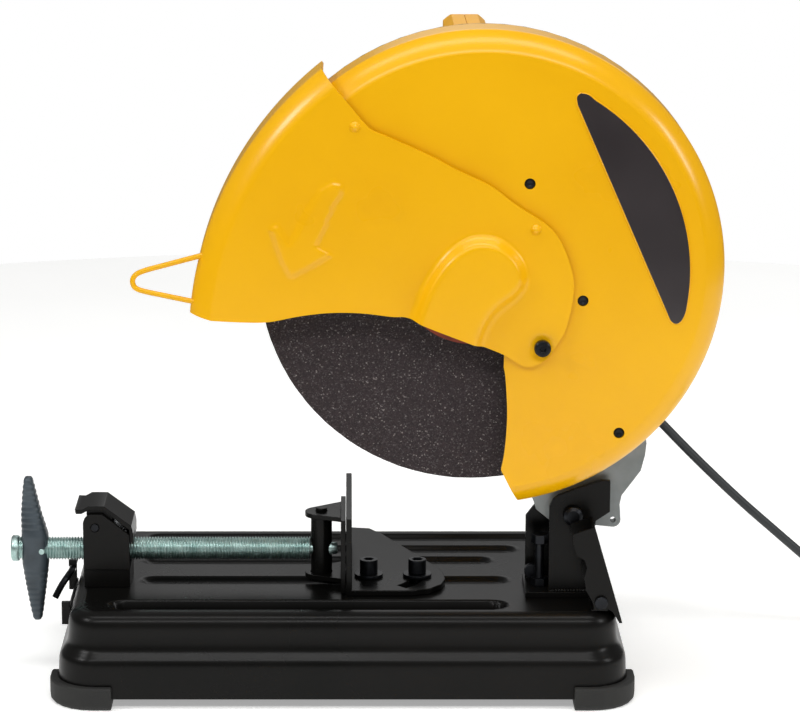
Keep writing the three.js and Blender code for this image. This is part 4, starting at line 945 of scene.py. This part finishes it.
# Shallow ribs along the motor case: bars of rounded section set round it.
def coolingFins():
    low, high = lowHigh("motor_housing")
    start, end = low[1] + 22 * mm, high[1] - 4 * mm
    for number in range(9):
        angle = math.radians(-168 + number * 17)
        spot = motorAt + 54.2 * mm * np.array([math.cos(angle), 0, math.sin(angle)])
        line = np.array([(spot[0], y, spot[2]) for y in np.linspace(start, end, 12)])
        radius = 1.9 * mm * np.array([0.4, 0.85, *[1.0] * 8, 0.85, 0.4])
        tubePiece(f"coolingFin{number + 1}", line, radius, 12, yellowPaint, "arm")


coolingFins()
for number, (y, z) in enumerate(((-28, 453), (-28, 548), (57, 462), (57, 548))):
    place = np.array([lowHigh("handle_shell_rear")[1][0], y * mm, z * mm])
    roundTurned(f"handleScrew{number + 1}", [(0, -0.8), (1.6, -0.8), (1.9, -0.1), (3.6, -0.1), (3.9, -0.6), (3.9, -3), (0, -3)],
                24, place, "X", blackSteel, "arm")
print("motor and handle made")


floorRadius = 1.75
floorAngle = 2 * np.pi * np.arange(96) / 96
floorRing = floorRadius * np.column_stack([np.cos(floorAngle), np.sin(floorAngle), 0 * floorAngle])
floor = newPiece("floor", floorRing + np.array([0.05, 0.1, 0]), [list(range(96))], floorPaint, None)

lights = {
    "overhead": {"place": (0.0, -0.4, 2.2), "aim": (0.0, -0.1, 0.1), "size": (2.4, 0.4), "power": 17},
    "keyLeft": {"place": (-2.2, -1.2, 2.0), "aim": (0.0, 0.0, 0.3), "size": (0.7, 0.5), "power": 21},
    "fillRight": {"place": (2.5, -1.0, 1.4), "aim": (0.0, 0.0, 0.3), "size": (0.4, 0.9), "power": 16},
    "front": {"place": (0.0, -2.5, 2.5), "aim": (0.0, 0.0, 0.2), "size": (3.4, 0.3), "power": 40},
    "behind": {"place": (0.6, 2.6, 1.6), "aim": (0.0, 0.3, 0.2), "size": (2.4, 1.2), "power": 8},
}
for name, light in lights.items():
    lamp = bpy.data.objects.new(name, bpy.data.lights.new(name, "AREA"))
    bpy.context.scene.collection.objects.link(lamp)
    lamp.data.shape = "RECTANGLE"
    lamp.data.size, lamp.data.size_y = light["size"]
    lamp.data.energy = light["power"]
    lamp.location = light["place"]
    towards = Vector(light["aim"]) - lamp.location
    lamp.rotation_euler = towards.to_track_quat("-Z", "Y").to_euler()

# the room: a white backdrop to look at, while what the machine mirrors is paler above than below
room = {"backdrop": 1.0, "above": 0.30, "below": 0.08}
world = bpy.data.worlds.new("studio")
world.use_nodes = True
tree = world.node_tree
tree.nodes.clear()
way = addNode(tree, "ShaderNodeTexCoord").outputs["Generated"]
height = addNode(tree, "ShaderNodeSeparateXYZ", None, {"Vector": way})
level = addNode(tree, "ShaderNodeMapRange", {"From Min": -0.3, "From Max": 0.7, "To Min": room["below"],
                                             "To Max": room["above"]}, {"Value": height.outputs["Z"]})
seen = addNode(tree, "ShaderNodeLightPath").outputs["Is Camera Ray"]
softLight = addNode(tree, "ShaderNodeBackground", {"Color": (1, 1, 1, 1)}, {"Strength": level.outputs["Result"]})
backdrop = addNode(tree, "ShaderNodeBackground", {"Color": (1, 1, 1, 1), "Strength": room["backdrop"]})
both = addNode(tree, "ShaderNodeMixShader", None, {0: seen, 1: softLight.outputs[0], 2: backdrop.outputs[0]})
addNode(tree, "ShaderNodeOutputWorld", None, {"Surface": both.outputs[0]})
bpy.context.scene.world = world
bpy.context.scene.view_settings.view_transform = "Standard"
